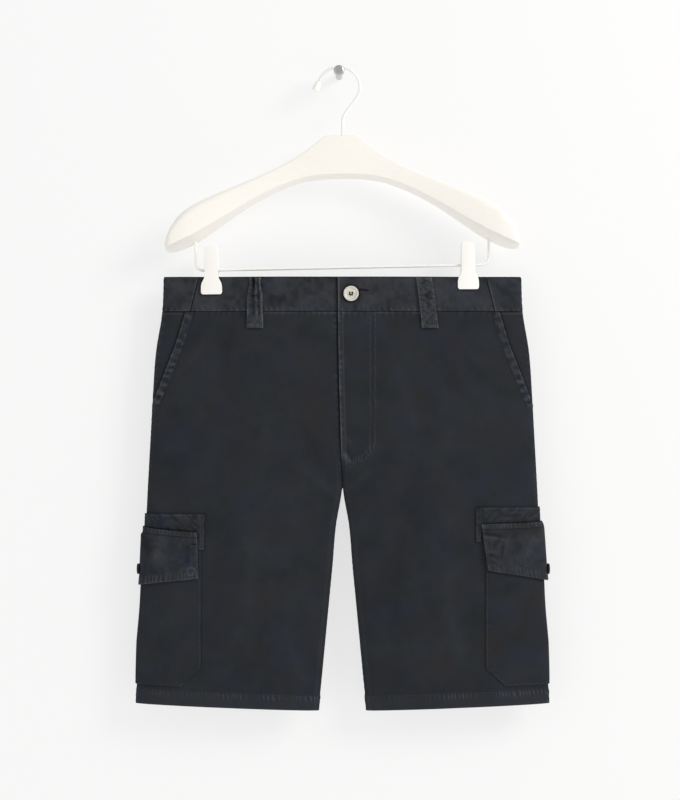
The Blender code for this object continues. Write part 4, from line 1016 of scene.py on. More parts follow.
def belt_loop(loop, seed):
    heights = LOOP_TOP_Z + (LOOP_BOTTOM_Z - LOOP_TOP_Z) * np.linspace(0, 1, LOOP_GRID[0])
    z = np.broadcast_to(heights[:, None], LOOP_GRID)
    part = np.broadcast_to(np.linspace(-1, 1, LOOP_GRID[1]), LOOP_GRID)
    share = z / LOOP_BOTTOM_Z
    squeeze = 1 - 0.30 * loop.pinch * near(share - 0.12, 0.20) + 0.06 * near(share - 1, 0.2)
    middle = loop.x + loop.lean * share + 0.5 * MM * wander(z, 22 * MM, seed)
    x = middle + part * LOOP_WIDTH / 2 * squeeze
    grid = np.empty((*LOOP_GRID, 3))
    for side in (1, -1):
        on = (x * side >= 0)
        level = share_at(side, loop.face, np.abs(x), z)
        grid[on] = dressed(side, loop.face, level, z)[on]
    if loop.face > 0:
        grid = grid[:, ::-1]
        part = part[:, ::-1]
    stand = (0.9 * MM + 1.8 * MM + 2.2 * MM * np.sin(pi * share)
             + 0.9 * MM * near(share - 0.30, 0.06) - 0.5 * MM * near(share - 0.42, 0.05))
    edge = 1 - np.abs(part)
    lift = stand - 0.9 * MM * near(edge, 0.10) - 0.35 * MM * near(edge - 0.24, 0.06)
    lift = lift - 1.5 * MM * loop.pinch * near(part + 0.15, 0.28) * near(share - 0.10, 0.16)
    ridge = pucker(z, part * 0.01, 4.2 * MM, seed + 1, slant=0.2)
    lift = lift + 0.16 * MM * ridge * near(edge - 0.1, 0.2)
    fold = loop.pinch * (1 - smooth_step((share - 0.70) / 0.2))
    ridges = near(part - 0.05 - 0.25 * share, 0.13) + near(part - 0.80 + 0.1 * share, 0.12)
    valley = near(part + 0.42 - 0.30 * share, 0.20) + near(part - 0.45 - 0.1 * share, 0.13)
    lift = lift + fold * MM * (0.8 * ridges - 0.8 * valley)
    blotch = wander_area(part * 9 * MM, z, 2.6 * MM, seed + 6)
    tack = near(share - 0.955, 0.030) + near(share - 0.04, 0.025)
    lift = lift + 0.25 * MM * tack * near(edge - 0.5, 0.45)
    wear = 0.60 * near(edge - 0.07, 0.09) * (0.65 + 0.35 * wander(z + part, 6 * MM, seed + 2))
    wear = wear + 0.30 * unit(ridge) * near(edge - 0.2, 0.2)
    wear = wear + 0.50 * tack * (0.5 + 0.5 * np.sin(part * 22)) + 0.16 + 0.16 * blotch
    wear = wear + 0.30 * fold * ridges
    # Painted shade in the pinched hollow, across the loop and in the fold's valleys, with darker dye
    # blotches.
    shade_and_dye = 0.85 * loop.pinch * near(part + 0.15, 0.26) * near(share - 0.10, 0.14)
    shade_and_dye = shade_and_dye + 0.40 * near(share - 0.37, 0.025) * near(part, 0.8)
    shade_and_dye = shade_and_dye + 0.50 * fold * valley + 0.30 * unit(-blotch)
    return cloth_wall(loop.name, grid, lift, LOOP_THICK, np.stack([part * 0.009, -z], -1), wear,
                      shade_and_dye, 0.5 * unit(wander_area(part * 0.01, z, 7 * MM, seed + 3)))


loops = [belt_loop(loop, 500 + 10 * place) for place, loop in enumerate(LOOPS)]
print(len(loops), "belt loops")

# %% [markdown]
# ## Cargo pockets
# A patch pocket is sewn round each side seam on three sides, a strip above it carries the flap, and
# the flap hangs over the pocket's open top and is held by a snap. Their edges are turned under and
# stitched close, so each edge is a short-pitched rope of puckers, rubbed pale on top, with painted
# shade in its hollows and a painted shadow line beside it. The cloth between stands a few
# millimetres off the leg.

# %% Rows that wrap the side seam
Cargo = namedtuple("Cargo", "band_x band_top tab_z pocket_x top top_rise bottom point front foot_x")
CARGO = {                 # no two pockets were sewn on alike; side 1 is the wearer's left
    1: Cargo(0.1590, -0.2755, -0.3168, 0.1712, -0.2958, 0.0034, -0.3504, 0.0138, 0.1656, 0.1734),
    -1: Cargo(0.1645, -0.2835, -0.3264, 0.1690, -0.3054, 0.0069, -0.3600, 0.0096, 0.1734, 0.1712),
}
POCKET_GAP = 0.5 * MM
POCKET_SLACK = 2.4 * MM
FLAP_GAP = 0.8 * MM
PARTS = np.linspace(-1, 1, 211)           # -1 front edge, 0 side seam, 1 back edge
ROW_START = 0.126         # metres across for one unit of PARTS, at a row's front edge


def side_wrap(side, front_x, back_x, z):
    """Points from a pocket piece's front edge round the side seam to its back edge."""
    turn = np.sin(pi / 2 * (1 - np.abs(PARTS)))[None, :]
    points = np.empty((*z.shape, 3))
    for face, x, on in ((-1, front_x, PARTS < 0), (1, back_x, PARTS >= 0)):
        first = share_at(side, face, x, z)
        side_points = dressed(side, face, first + (1 - first) * turn, z, 0.0)
        points[:, on] = side_points[:, on]
    step = np.linalg.norm(np.diff(points, axis=1), axis=-1)
    arc = np.concatenate([np.zeros((len(z), 1)), np.cumsum(step, axis=1)], axis=1)
    return points, arc, arc[:, -1:] - arc


def wrapped_wall(name, side, grid, lift, uv, wear, shade_and_dye, blue):
    """Close a pocket piece into a wall; rows must run anticlockwise from above."""
    parts = [grid, lift, uv, wear, shade_and_dye, blue]
    if side < 0:
        parts = [np.broadcast_to(part, (*grid.shape[:2], *np.shape(part)[2:]))[:, ::-1]
                 for part in parts]
    grid, lift, uv, wear, shade_and_dye, blue = parts
    return cloth_wall(name, grid, lift, CLOTH, uv, wear, shade_and_dye, blue)


def roped_edge(away, along, seed, width, slant, rub, line):
    """A turned, stitched edge: a short-pitched rope, pale on top, with painted shade in its hollows
    and beside it.
    """
    rope = pucker(along, away, 4.8 * MM, seed, slant)
    inside = smooth_step((width - away) / (1.6 * MM))
    patchy = unit(0.60 + 0.50 * wander(along, 13 * MM, seed + 2))
    lift = inside * (0.22 * MM + 0.27 * MM * rope * (0.4 + 0.6 * rub))
    lift = lift - 0.30 * MM * line * near(away - width - 0.4 * MM, 0.9 * MM)
    lift = lift - 0.35 * MM * near(away, 0.5 * MM)
    wear = inside * rub * (0.12 + 0.36 * unit(rope)) * patchy
    wear = wear + 0.52 * near(away, 0.9 * MM) * patchy
    shade_and_dye = 0.34 * rub * inside * unit(-rope)
    shade_and_dye = shade_and_dye + 0.50 * line * near(away - width - 0.5 * MM, 0.8 * MM)
    return lift, wear, shade_and_dye


print(len(PARTS), "columns round the side seam")

# %% Patch pockets
POCKET_BACK_X = 0.1600
BAND_BACK_X = POCKET_BACK_X - 0.005
FLAP_BACK_X = POCKET_BACK_X + 0.003
POCKET_TOP_Z = -0.3090
POCKET_BOTTOM_Z = -0.4955
POCKET_CHAMFER = 0.0240


def cargo_pocket(word, side, seed):
    heights = np.concatenate([np.linspace(POCKET_TOP_Z, -0.470, 66)[:-1],
                              np.linspace(-0.470, POCKET_BOTTOM_Z, 26)])
    z = np.broadcast_to(heights[:, None], (len(heights), len(PARTS)))
    cut = np.maximum(POCKET_BOTTOM_Z + POCKET_CHAMFER - z, 0.0)
    grid, front, back = side_wrap(side, CARGO[side].pocket_x + cut, POCKET_BACK_X + cut, z)
    foot = z - POCKET_BOTTOM_Z
    rows_up = unit(foot / 0.055)
    slack = POCKET_SLACK * np.sqrt(np.sin(pi * unit((PARTS + 1) / 2)))[None, :] * rows_up
    lift = POCKET_GAP + CLOTH + slack
    wear, shade_and_dye = np.zeros_like(z), np.zeros_like(z)
    for away, along, shift in ((np.minimum(front, 0.05), z, 0), (np.minimum(back, 0.05), z, 3),
                               (foot, front, 6)):
        rope = pucker(along, away, 6.5 * MM, seed + shift, slant=0.4)
        lift = lift + 0.24 * MM * rope * near(away - 2 * MM, 3.5 * MM)
        patchy = 0.45 + 0.45 * wander(along, 21 * MM, seed + shift + 1)
        wear = wear + 0.20 * near(away, 1.0 * MM) * patchy
        wear = wear + 0.22 * unit(rope) * near(away - 2 * MM, 2.2 * MM) * patchy
        # Painted shade in the ropes' hollows.
        shade_and_dye = shade_and_dye + 0.22 * unit(-rope) * near(away - 3 * MM, 2.4 * MM)
    blue = 0.45 * unit(wander_area(front, z, 19 * MM, seed + 9))
    return wrapped_wall(f"cargo_pocket_{word}", side, grid, lift, np.stack([front, -z], -1),
                        wear, shade_and_dye, blue)


# %% Strips above the flaps
def flap_top(side):
    return CARGO[side].top + CARGO[side].top_rise * (1 - np.abs(PARTS))


def cargo_band(word, side, seed):
    step = np.linspace(0, 1, 26)[:, None]
    sizes = CARGO[side]
    tab_share = (sizes.front - sizes.band_x + 2 * MM) / ROW_START
    tab = smooth_step((tab_share - 1 - PARTS) / 0.02)[None, :]    # it runs down past the flap
    bottom = flap_top(side)[None, :] * (1 - tab) + sizes.tab_z * tab - 1.5 * MM * (1 - tab)
    z = sizes.band_top + step * (bottom - sizes.band_top)
    grid, front, back = side_wrap(side, sizes.band_x, BAND_BACK_X, z)
    top = sizes.band_top - z
    on_pocket = smooth_step((np.abs(grid[..., 0]) - sizes.pocket_x + 3.5 * MM) / (2 * MM))
    on_pocket = on_pocket * smooth_step((POCKET_TOP_Z + 3 * MM - z) / (3 * MM))
    lift = POCKET_GAP + CLOTH + 0.3 * MM + on_pocket * (CLOTH + 0.15 * MM)
    rope = pucker(front, top, 5.6 * MM, seed, slant=0.05)
    patchy = unit(0.5 + 0.5 * wander(front, 15 * MM, seed + 1))
    lift = lift + 0.25 * MM * rope * near(top - 4 * MM, 5 * MM)
    wear = 0.26 * unit(rope) * near(top - 4 * MM, 3 * MM) * patchy
    wear = wear + 0.26 * near(top - 1.8 * MM, 0.9 * MM) * patchy
    rope = pucker(z, front, 5.2 * MM, seed + 4)
    for end in (front, back):
        lift = lift + 0.20 * MM * rope * near(end - 1.5 * MM, 3 * MM)
        wear = wear + 0.16 * near(end - 1.4 * MM, 1.0 * MM) * (0.5 + 0.5 * rope)
    blotch = wander_area(front, z, 3.4 * MM, seed + 7)
    wear = wear + 0.04 + 0.12 * blotch + 0.22 * near(z - bottom - 1.2 * MM, 0.8 * MM) * tab
    # Painted shade under the flap's top and along the strip's top and front edges, with darker dye
    # blotches.
    hem = (1 - tab) * near(z - flap_top(side)[None, :], 1.5 * MM)
    shade_and_dye = 0.75 * hem + 0.45 * near(top, 0.6 * MM) + 0.30 * near(front, 0.6 * MM)
    shade_and_dye = shade_and_dye + 0.25 * unit(-blotch)
    blue = 0.6 * unit(wander_area(front, z, 8 * MM, seed + 6))
    return wrapped_wall(f"cargo_band_{word}", side, grid, lift, np.stack([front, -z], -1),
                        wear, shade_and_dye, blue)


# %% Flaps
Dent = namedtuple("Dent", "from_edge down length width height lean")
FLAP_DENTS = {            # creases on the flaps, measured from their front and top edges
    1: (Dent(0.010, 0.0130, 0.013, 0.0018, -1.1, 6.0), Dent(0.012, 0.0165, 0.012, 0.0020, 0.9, 5.0),
        Dent(0.0155, 0.0210, 0.009, 0.0020, -0.8, -0.9),
        Dent(0.0205, 0.0330, 0.011, 0.0022, -0.8, -0.20),
        Dent(0.0240, 0.0300, 0.017, 0.0026, 0.6, -0.40),
        Dent(0.007, 0.0330, 0.005, 0.0010, 0.7, 6.0), Dent(0.008, 0.0370, 0.006, 0.0009, -0.7, 6.0),
        Dent(0.007, 0.0410, 0.005, 0.0010, 0.7, 6.0), Dent(0.006, 0.0460, 0.005, 0.0009, -0.6, 5.0),
        Dent(0.052, 0.0300, 0.018, 0.0060, 0.5, -0.6), Dent(0.112, 0.030, 0.020, 0.0050, 0.8, 0.4)),
    -1: (Dent(0.003, 0.0145, 0.005, 0.0012, -1.0, 6.0), Dent(0.004, 0.0165, 0.005, 0.0012, 0.8, 5.0),
         Dent(0.012, 0.0270, 0.014, 0.0036, -0.7, 0.1), Dent(0.046, 0.0260, 0.020, 0.0070, 0.6, 0.3),
         Dent(0.061, 0.0240, 0.016, 0.0050, -0.6, -0.2),
         Dent(0.104, 0.0280, 0.022, 0.0050, -0.8, 0.4)),
}
FLAP_SIT = {1: 1.2, -1: 3.2}          # how far each flap's side is pressed in, in mm
RING = (0.0086, 0.0095)   # the snap's inner half, pressed through: from the front and the foot
RING_RADIUS = 4.6 * MM


def cargo_flap(word, side, seed):
    step = (np.linspace(0, 1, 60)**1.12)[:, None]
    sizes = CARGO[side]
    top_z = flap_top(side)[None, :]
    bottom_z = sizes.bottom - sizes.point * (1 - np.abs(PARTS))[None, :]**0.8
    z = top_z + step * (bottom_z - top_z)
    front_x = sizes.front + (sizes.foot_x - sizes.front) * step
    grid, front, back = side_wrap(side, front_x, FLAP_BACK_X, z)
    across = np.sqrt(np.sin(pi * unit((PARTS + 1) / 2)))[None, :]
    over = CLOTH + FLAP_GAP + POCKET_SLACK * across
    lift = POCKET_GAP + 2 * CLOTH + over * (0.55 + 0.45 * smooth_step(step / 0.10))
    lift = lift + near(PARTS, 0.30)[None, :] * (2.6 * step - FLAP_SIT[side]) * MM
    clear = POCKET_GAP + 2 * CLOTH + 0.9 * MM
    bagged = POCKET_SLACK * across * smooth_step((POCKET_TOP_Z + 4 * MM - z) / (4 * MM))
    lift = np.maximum(lift, clear + bagged)
    wear, shade_and_dye = np.zeros_like(z), np.zeros_like(z)
    down, up = top_z - z, z - bottom_z
    edges = ((front, z, 0, 5 * MM, 0.6, 0.45, 0.25), (back, z, 5, 6 * MM, -0.5, 0.8, 0.7),
             (up, front, 10, 10 * MM, 0.1, 0.75, 0.0), (down, front, 15, 6 * MM, 0.1, 1.0, 1.0))
    for away, along, shift, width, slant, rub, line in edges:
        more = roped_edge(away, along, seed + shift, width, slant, rub, line)
        lift, wear, shade_and_dye = lift + more[0], wear + more[1], shade_and_dye + more[2]
    # The dents are pale on their ridges and get painted shade in their hollows.
    for dent in FLAP_DENTS[side]:
        long = np.hypot(1, dent.lean)
        off = ((front - dent.from_edge) - dent.lean * (down - dent.down)) / long
        run = (dent.lean * (front - dent.from_edge) + (down - dent.down)) / long
        shape = dent.height * np.exp(-np.abs(off / dent.width)**1.5 - (run / dent.length)**4)
        lift = lift + MM * shape * smooth_step(down / (4 * MM))
        wear = wear + 0.26 * unit(shape)
        shade_and_dye = shade_and_dye + 0.55 * unit(-shape)
    if side < 0:
        ring = np.hypot(front - RING[0], up - RING[1])
        wear = wear + 0.34 * near(ring - RING_RADIUS, 0.9 * MM)
        lift = lift + 0.6 * MM * np.exp(-(ring / RING_RADIUS)**6)
    blotch = wander_area(front, z, 4.2 * MM, seed + 22)
    wear = wear + 0.05 + 0.07 * blotch + 0.05 * wander_area(front, z, 12 * MM, seed + 23)
    # Painted shade along the flap's top edge.
    shade_and_dye = shade_and_dye + 0.55 * near(down, 0.6 * MM)
    blue = 0.8 * near(front - 13 * MM, 6 * MM) * near(down - 27 * MM, 12 * MM)
    blue = blue + 0.45 * unit(wander_area(front, z, 13 * MM, seed + 20))
    return wrapped_wall(f"cargo_flap_{word}", side, grid, lift, np.stack([front, -z], -1),
                        wear, np.clip(shade_and_dye, 0, 0.9), blue)


cargo = {}
for word, side in (("left", 1), ("right", -1)):
    cargo[f"pocket_{word}"] = cargo_pocket(word, side, 600 + side)
    cargo[f"band_{word}"] = cargo_band(word, side, 630 + side)
    cargo[f"flap_{word}"] = cargo_flap(word, side, 660 + side)
print("cargo pieces:", sorted(cargo))

# %% [markdown]
# ## Button and snaps
# A corozo button is turned on a lathe: a dished middle with four holes, a groove and a raised rim.
# It is sewn on with black thread. A press snap is a stamped cap, turned too, so one function makes
# both, along with the hook's cap and the peg.

# %% Turned pieces
def placed(mesh, axis, spot, tilt=0.0):
    """Turn a mesh's own Z axis to a direction and move it, in the mesh itself."""
    turn = Vector(axis).to_track_quat("Z", "Y").to_matrix().to_4x4()
    turn.translation = Vector(spot)
    if tilt:
        turn = carrier_matrix() @ turn
    mesh.transform(turn)
    return mesh


def add_piece(name, mesh, material, node=None, sharp=35):
    mesh.shade_smooth()
    mesh.set_sharp_from_angle(angle=radians(sharp))
    mesh.materials.clear()
    mesh.materials.append(material)
    made = add_object(name, mesh)
    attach(made, "root")
    if node:
        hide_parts(node)
    return made


def skin(build, rings):
    """Faces between each ring of corners and the next."""
    for low, high in zip(rings, rings[1:]):
        for i in range(len(low)):
            j = (i + 1) % len(low)
            build.faces.new((low[i], low[j], high[j], high[i]))


def turned_mesh(name, profile, sides):
    """A closed solid turned about Z from (radius, height) pairs, from its back to its front."""
    build = bmesh.new()
    rings = []
    for radius, height in profile:
        ring = [build.verts.new((radius * cos(2 * pi * i / sides), radius * sin(2 * pi * i / sides),
                                 height)) for i in range(sides)]
        rings.append(ring)
    skin(build, rings)
    build.faces.new(rings[0][::-1])
    build.faces.new(rings[-1])
    return finished_mesh(name, build)


BUTTON_PROFILE = (
    (0.0070, 0.0), (0.0087, 0.0006), (0.0091, 0.0012), (0.0091, 0.0022), (0.0089, 0.0028),
    (0.0086, 0.0031), (0.0082, 0.0032), (0.0076, 0.0032), (0.0072, 0.0030), (0.0068, 0.0025),
    (0.0062, 0.0021), (0.0054, 0.0019), (0.0050, 0.0021), (0.0046, 0.0022), (0.0036, 0.0020),
    (0.0018, 0.0019),
)
HOLE_RADIUS = 0.0009
HOLE_RING = 0.0019


def button_mesh():
    """The turned blank with four holes drilled through it."""
    blank = add_object("blank", turned_mesh("blank", BUTTON_PROFILE, 72))
    drills = bmesh.new()
    for i in range(4):
        angle = pi / 4 + i * pi / 2
        pin = bmesh.ops.create_cone(drills, cap_ends=True, segments=20, radius1=HOLE_RADIUS,
                                    radius2=HOLE_RADIUS, depth=0.012)
        step = Vector((HOLE_RING * cos(angle), HOLE_RING * sin(angle), 0))
        bmesh.ops.translate(drills, verts=pin["verts"], vec=step)
    pins = add_object("pins", finished_mesh("pins", drills))
    cut = blank.modifiers.new("holes", "BOOLEAN")
    cut.operation = "DIFFERENCE"
    cut.solver = "EXACT"
    cut.object = pins
    made = evaluated_mesh(blank)
    bpy.data.objects.remove(pins, do_unlink=True)
    return made


def band_point(x, z):
    """World position of the waistband's outside at a place on the wearer's left front."""
    spot = dressed(1, -1, share_at(1, -1, x, z), z)
    return Vector(spot + GARMENT_AT)


button_at = band_point(BUTTON_X, BUTTON_Z) + Vector((0, -BAND_PROUD - 0.6 * MM, 0))
add_piece("waist_button", placed(button_mesh(), (0, -1, 0), button_at), COROZO,
          "waist_button")


# %% The thread through the button's holes
def tube_mesh(name, points, radius, sides=10):
    """A round tube along points, as a plain mesh with closed ends."""
    curve = bpy.data.curves.new(name, "CURVE")
    curve.dimensions = "3D"
    curve.bevel_depth = radius
    curve.bevel_resolution = max(sides // 2 - 1, 1)
    curve.use_fill_caps = True
    line = curve.splines.new("POLY")
    line.points.add(len(points) - 1)
    for spot, point in zip(line.points, points):
        spot.co = (*point, 1.0)
    return evaluated_mesh(add_object(name, curve))


THREAD_PATH = ((-0.9, 1.1, -0.6), (-1, 0.9, 0.1), (-1.1, 0.2, 0.45), (-1.1, -0.5, 0.45),
               (-0.9, -1.0, 0.45), (0, -1.2, 0.45), (0.8, -1.0, 0.45), (1, -0.5, 0.45),
               (1.15, 0.2, 0.45), (1.3, 0.9, 0.1), (1.3, 1.1, -0.6))
THREAD_RADIUS = 0.00066
reach = HOLE_RING * 0.80
thread_points = [button_at + Vector((x * reach, -0.0021 - lift * 0.0011, z * reach))
                 for x, z, lift in THREAD_PATH]
add_piece("button_thread", tube_mesh("button_thread", thread_points, THREAD_RADIUS), BLACK_THREAD)

# %% Snap caps on the flaps' points
SNAP_Z = -0.3500
SNAP_PROFILE = ((0.0052, 0.0), (0.0062, 0.0003), (0.0064, 0.0007), (0.0064, 0.0020),
                (0.0062, 0.0026), (0.0056, 0.0030), (0.0046, 0.0032), (0.0040, 0.0031),
                (0.0034, 0.0032), (0.0020, 0.0033))
snaps = {}
for word, side in (("left", 1), ("right", -1)):
    start = Vector(GARMENT_AT) + Vector((side * 0.30, 0, SNAP_Z))
    _, spot, _, _ = cargo[f"flap_{word}"].ray_cast(start, Vector((-side, 0, 0)))
    spot = spot - Vector((side * 0.4 * MM, 0, 0))
    cap = placed(turned_mesh(f"flap_snap_{word}", SNAP_PROFILE, 48), (side, 0, 0), spot)
    snaps[word] = add_piece(f"flap_snap_{word}", cap, BLACK_SNAP,
                            f"flap_snap_{word}")
print("button, thread and snaps are in")

# %% [markdown]
# ## Hanger
# The shoulder piece is cut from a beech plank on a bandsaw, rounded over on its upper edges and
# sprayed white. It is lofted here from a table of sections. The wire parts are bent, and the clips
# slide on the bar. The whole hanger hangs a little askew, wearer's left end up.

# %% Wooden shoulder piece
HANGER_TILT = 0.0105


def carrier_matrix():
    """The hanger's own frame, hung a little askew."""
    return Matrix.Translation(GARMENT_AT) @ Matrix.Rotation(-HANGER_TILT, 4, "Y")


Wood = namedtuple("Wood", "x top bottom front_bottom half_depth forward top_round")
WOOD = (                  # the ends flare and lean forward, and their underside slopes
    Wood(0.0000, 0.1696, 0.1178, 0.1234, 0.0065, 0.0000, 0.0020),
    Wood(0.0180, 0.1692, 0.1174, 0.1230, 0.0065, 0.0000, 0.0020),
    Wood(0.0250, 0.1646, 0.1170, 0.1226, 0.0065, 0.0000, 0.0020),
    Wood(0.0320, 0.1588, 0.1161, 0.1218, 0.0066, 0.0000, 0.0022),
    Wood(0.0456, 0.1488, 0.1140, 0.1196, 0.0068, 0.0000, 0.0024),
    Wood(0.0700, 0.1344, 0.1060, 0.1115, 0.0076, 0.0005, 0.0030),
    Wood(0.1020, 0.1200, 0.0905, 0.0962, 0.0096, 0.0020, 0.0045),
    Wood(0.1260, 0.1098, 0.0755, 0.0822, 0.0116, 0.0040, 0.0065),
    Wood(0.1500, 0.0998, 0.0586, 0.0675, 0.0140, 0.0065, 0.0085),
    Wood(0.1770, 0.0868, 0.0412, 0.0517, 0.0170, 0.0090, 0.0105),
    Wood(0.1920, 0.0763, 0.0350, 0.0444, 0.0182, 0.0100, 0.0115),
    Wood(0.2035, 0.0610, 0.0318, 0.0392, 0.0180, 0.0104, 0.0100),
    Wood(0.2090, 0.0490, 0.0316, 0.0372, 0.0160, 0.0104, 0.0060),
    Wood(0.2112, 0.0420, 0.0330, 0.0368, 0.0125, 0.0100, 0.0030),
)
WOOD_EDGE = 0.0013


def smooth_columns(table, spots):
    """Every column of a table read at many places along x, without overshoot."""
    x = np.array([row.x for row in table])
    values = np.array([row[1:] for row in table])
    slope = np.diff(values, axis=0) / np.diff(x)[:, None]
    tangent = np.zeros_like(values)
    joint = slope[:-1] * slope[1:] > 0
    even = 2 * slope[:-1] * slope[1:] / np.where(joint, slope[:-1] + slope[1:], 1.0)
    tangent[1:-1] = np.where(joint, even, 0.0)
    tangent[-1] = slope[-1]
    place = np.clip(np.searchsorted(x, spots) - 1, 0, len(x) - 2)
    span = (x[place + 1] - x[place])[:, None]
    t = ((spots - x[place])[:, None]) / span
    return ((2 * t**3 - 3 * t**2 + 1) * values[place] + (t**3 - 2 * t**2 + t) * span * tangent[place]
            + (3 * t**2 - 2 * t**3) * values[place + 1] + (t**3 - t**2) * span * tangent[place + 1])


def rounded_section(corners, radii, steps=6):
    """A closed section with a round arc at each corner."""
    points = []
    for i, corner in enumerate(corners):
        before = (corners[i - 1] - corner).normalized()
        after = (corners[(i + 1) % len(corners)] - corner).normalized()
        start, end = corner + before * radii[i], corner + after * radii[i]
        for s in range(steps + 1):
            t = s / steps
            points.append(start * (1 - t)**2 + corner * 2 * t * (1 - t) + end * t * t)
    return points


def wood_mesh():
    build = bmesh.new()
    spots = WOOD[-1].x * np.sin(pi / 2 * np.linspace(0, 1, 70))
    columns = smooth_columns(WOOD, spots)
    sections = [(-x, c) for x, c in zip(spots[::-1], columns[::-1])]
    sections += list(zip(spots, columns))[1:]
    rings = []
    for x, (top, bottom, front_bottom, half_depth, forward, top_round) in sections:
        rear, front = half_depth - forward, -half_depth - forward
        corners = [Vector((rear, bottom)), Vector((front, front_bottom)), Vector((front, top)),
                   Vector((rear, top))]
        limit = 0.45 * (top - front_bottom)
        radii = (WOOD_EDGE, WOOD_EDGE, min(top_round, limit), min(top_round, limit))
        ring = rounded_section(corners, radii)
        rings.append([build.verts.new((x, *spot)) for spot in ring])
    skin(build, rings)
    build.faces.new(rings[0])
    build.faces.new(rings[-1][::-1])
    bmesh.ops.recalc_face_normals(build, faces=build.faces)
    mesh = finished_mesh("hanger_body", build)
    mesh.transform(carrier_matrix())
    return mesh


add_piece("hanger_body", wood_mesh(), LACQUER, "hanger_body", 30)

# %% Hook, its cap and the bar
WIRE = 0.00175
HOOK_RADIUS = 0.0250
HOOK_END = radians(155)
HOOK_STEPS = 60
PEG_RADIUS = 0.0040
SEAM = 0.3 * MM


def bezier(start, lead, trail, end, count):
    """Points on a cubic curve, without its first one."""
    made = []
    for i in range(1, count + 1):
        t = i / count
        made.append(start * (1 - t)**3 + lead * 3 * t * (1 - t)**2
                    + trail * 3 * t * t * (1 - t) + end * t**3)
    return made


bow = Vector((-GARMENT_AT[0] - HANGER_TILT * GARMENT_AT[2], 0,
              PEG_RADIUS + SEAM + WIRE - HOOK_RADIUS - GARMENT_AT[2]))
stem = Vector((0.0018, 0, WOOD[0].top + SEAM))
turn = Vector((0.0020, 0, WOOD[0].top + 0.0160))
bow_side = bow + Vector((HOOK_RADIUS, 0, 0))
hook_points = [stem, stem.lerp(turn, 0.5), turn]
hook_points += bezier(turn, turn + Vector((0, 0, 0.0150)), bow_side - Vector((0, 0, 0.0160)),
                      bow_side, 24)
for i in range(1, HOOK_STEPS + 1):
    angle = HOOK_END * i / HOOK_STEPS
    hook_points.append(bow + Vector((cos(angle), 0, sin(angle))) * HOOK_RADIUS)
hook_way = Vector((-sin(HOOK_END), 0, cos(HOOK_END)))
hook_end = hook_points[-1] + hook_way * 0.0020
hook_points.append(hook_end)
hook_mesh = tube_mesh("hanger_hook", hook_points, WIRE, 14)
hook_mesh.transform(carrier_matrix())
add_piece("hanger_hook", hook_mesh, COATED_WIRE, "hanger_hook")

CAP_PROFILE = ((0.0022, 0.0), (0.0029, 0.0003), (0.0034, 0.0012), (0.0038, 0.0040),
               (0.0042, 0.0075), (0.0042, 0.0108), (0.0040, 0.0119), (0.0035, 0.0126),
               (0.0026, 0.0130))
cap_mesh = placed(turned_mesh("hook_cap", CAP_PROFILE, 32), hook_way, hook_end + hook_way * SEAM,
                  HANGER_TILT)
add_piece("hook_cap", cap_mesh, PLASTIC, "hook_cap")

BAR_WIRE = 0.0016
BAR_X = 0.1758
BAR_Z = 0.0112
BAR_SLOPE = 0.0016
BAR_BEND = 0.0095
BEND_STEPS = 14


def under_wood(x, y):
    """Height of the sloping underside at (x, y)."""
    _, bottom, front_bottom, half_depth, forward, _ = smooth_columns(WOOD, np.array([x]))[0]
    share = (half_depth - forward - y) / (2 * half_depth)
    return bottom + (front_bottom - bottom) * share


bar_points = []
for side in (-1, 1):
    low = BAR_Z + side * BAR_SLOPE
    top = under_wood(BAR_X, BAR_WIRE) + 0.5 * MM
    run = [Vector((side * BAR_X, 0, top)), Vector((side * BAR_X, 0, low + BAR_BEND + 0.006))]
    corner = Vector((side * (BAR_X - BAR_BEND), 0, low + BAR_BEND))
    for i in range(BEND_STEPS + 1):
        angle = pi / 2 * i / BEND_STEPS
        run.append(corner + Vector((side * cos(angle), 0, -sin(angle))) * BAR_BEND)
    bar_points += run if side < 0 else run[::-1]
bar_mesh = tube_mesh("hanger_bar", bar_points, BAR_WIRE, 14)
bar_mesh.transform(carrier_matrix())
add_piece("hanger_bar", bar_mesh, COATED_WIRE, "hanger_bar")
print("wood, hook, cap and bar are in")

# %% [markdown]
# ## Clips and peg
# A clip is two moulded plates that pivot on a hinge round the bar and pinch the waistband. Their
# narrow neck widens into a jaw with rounded corners. The peg on the wall is a turned steel rod with
# a knob that keeps the hook on.

# %% Clips
ClipRow = namedtuple("ClipRow", "z half_width away")
CLIP_ROWS = (             # height from the bar, half width, distance from the bar's plane
    ClipRow(0.0278, 0.0058, 0.0088),
    ClipRow(0.0268, 0.0070, 0.0088),
    ClipRow(0.0250, 0.0077, 0.0087),
    ClipRow(0.0080, 0.0082, 0.0062),
    ClipRow(0.0000, 0.0083, 0.0041),
    ClipRow(-0.0078, 0.0084, 0.0047),
    ClipRow(-0.0105, 0.0092, 0.0048),
    ClipRow(-0.0150, 0.0116, 0.0049),
    ClipRow(-0.0190, 0.0126, 0.0050),
    ClipRow(-0.0262, 0.0127, 0.0052),
    ClipRow(-0.0282, 0.0121, 0.0054),
    ClipRow(-0.0292, 0.0106, 0.0056),
)
CLIP_PLATE = 0.0020
CLIP_HINGE = 0.0036
HINGE_HALF = 0.0070
HINGE_SIDES = 40
CLIP_AT = {"left": 0.1506, "right": -0.1570}


def rounded_mesh(name, build, width, segments=3):
    """The mesh of a bmesh with its sharp edges rounded by a bevel."""
    bmesh.ops.recalc_face_normals(build, faces=build.faces)
    sharp = [e for e in build.edges if e.calc_face_angle(0) > radians(40)]
    bmesh.ops.bevel(build, geom=sharp, offset=width, segments=segments, profile=0.5,
                    affect="EDGES", clamp_overlap=True)
    mesh = finished_mesh(name, build)
    mesh.transform(carrier_matrix())
    return mesh


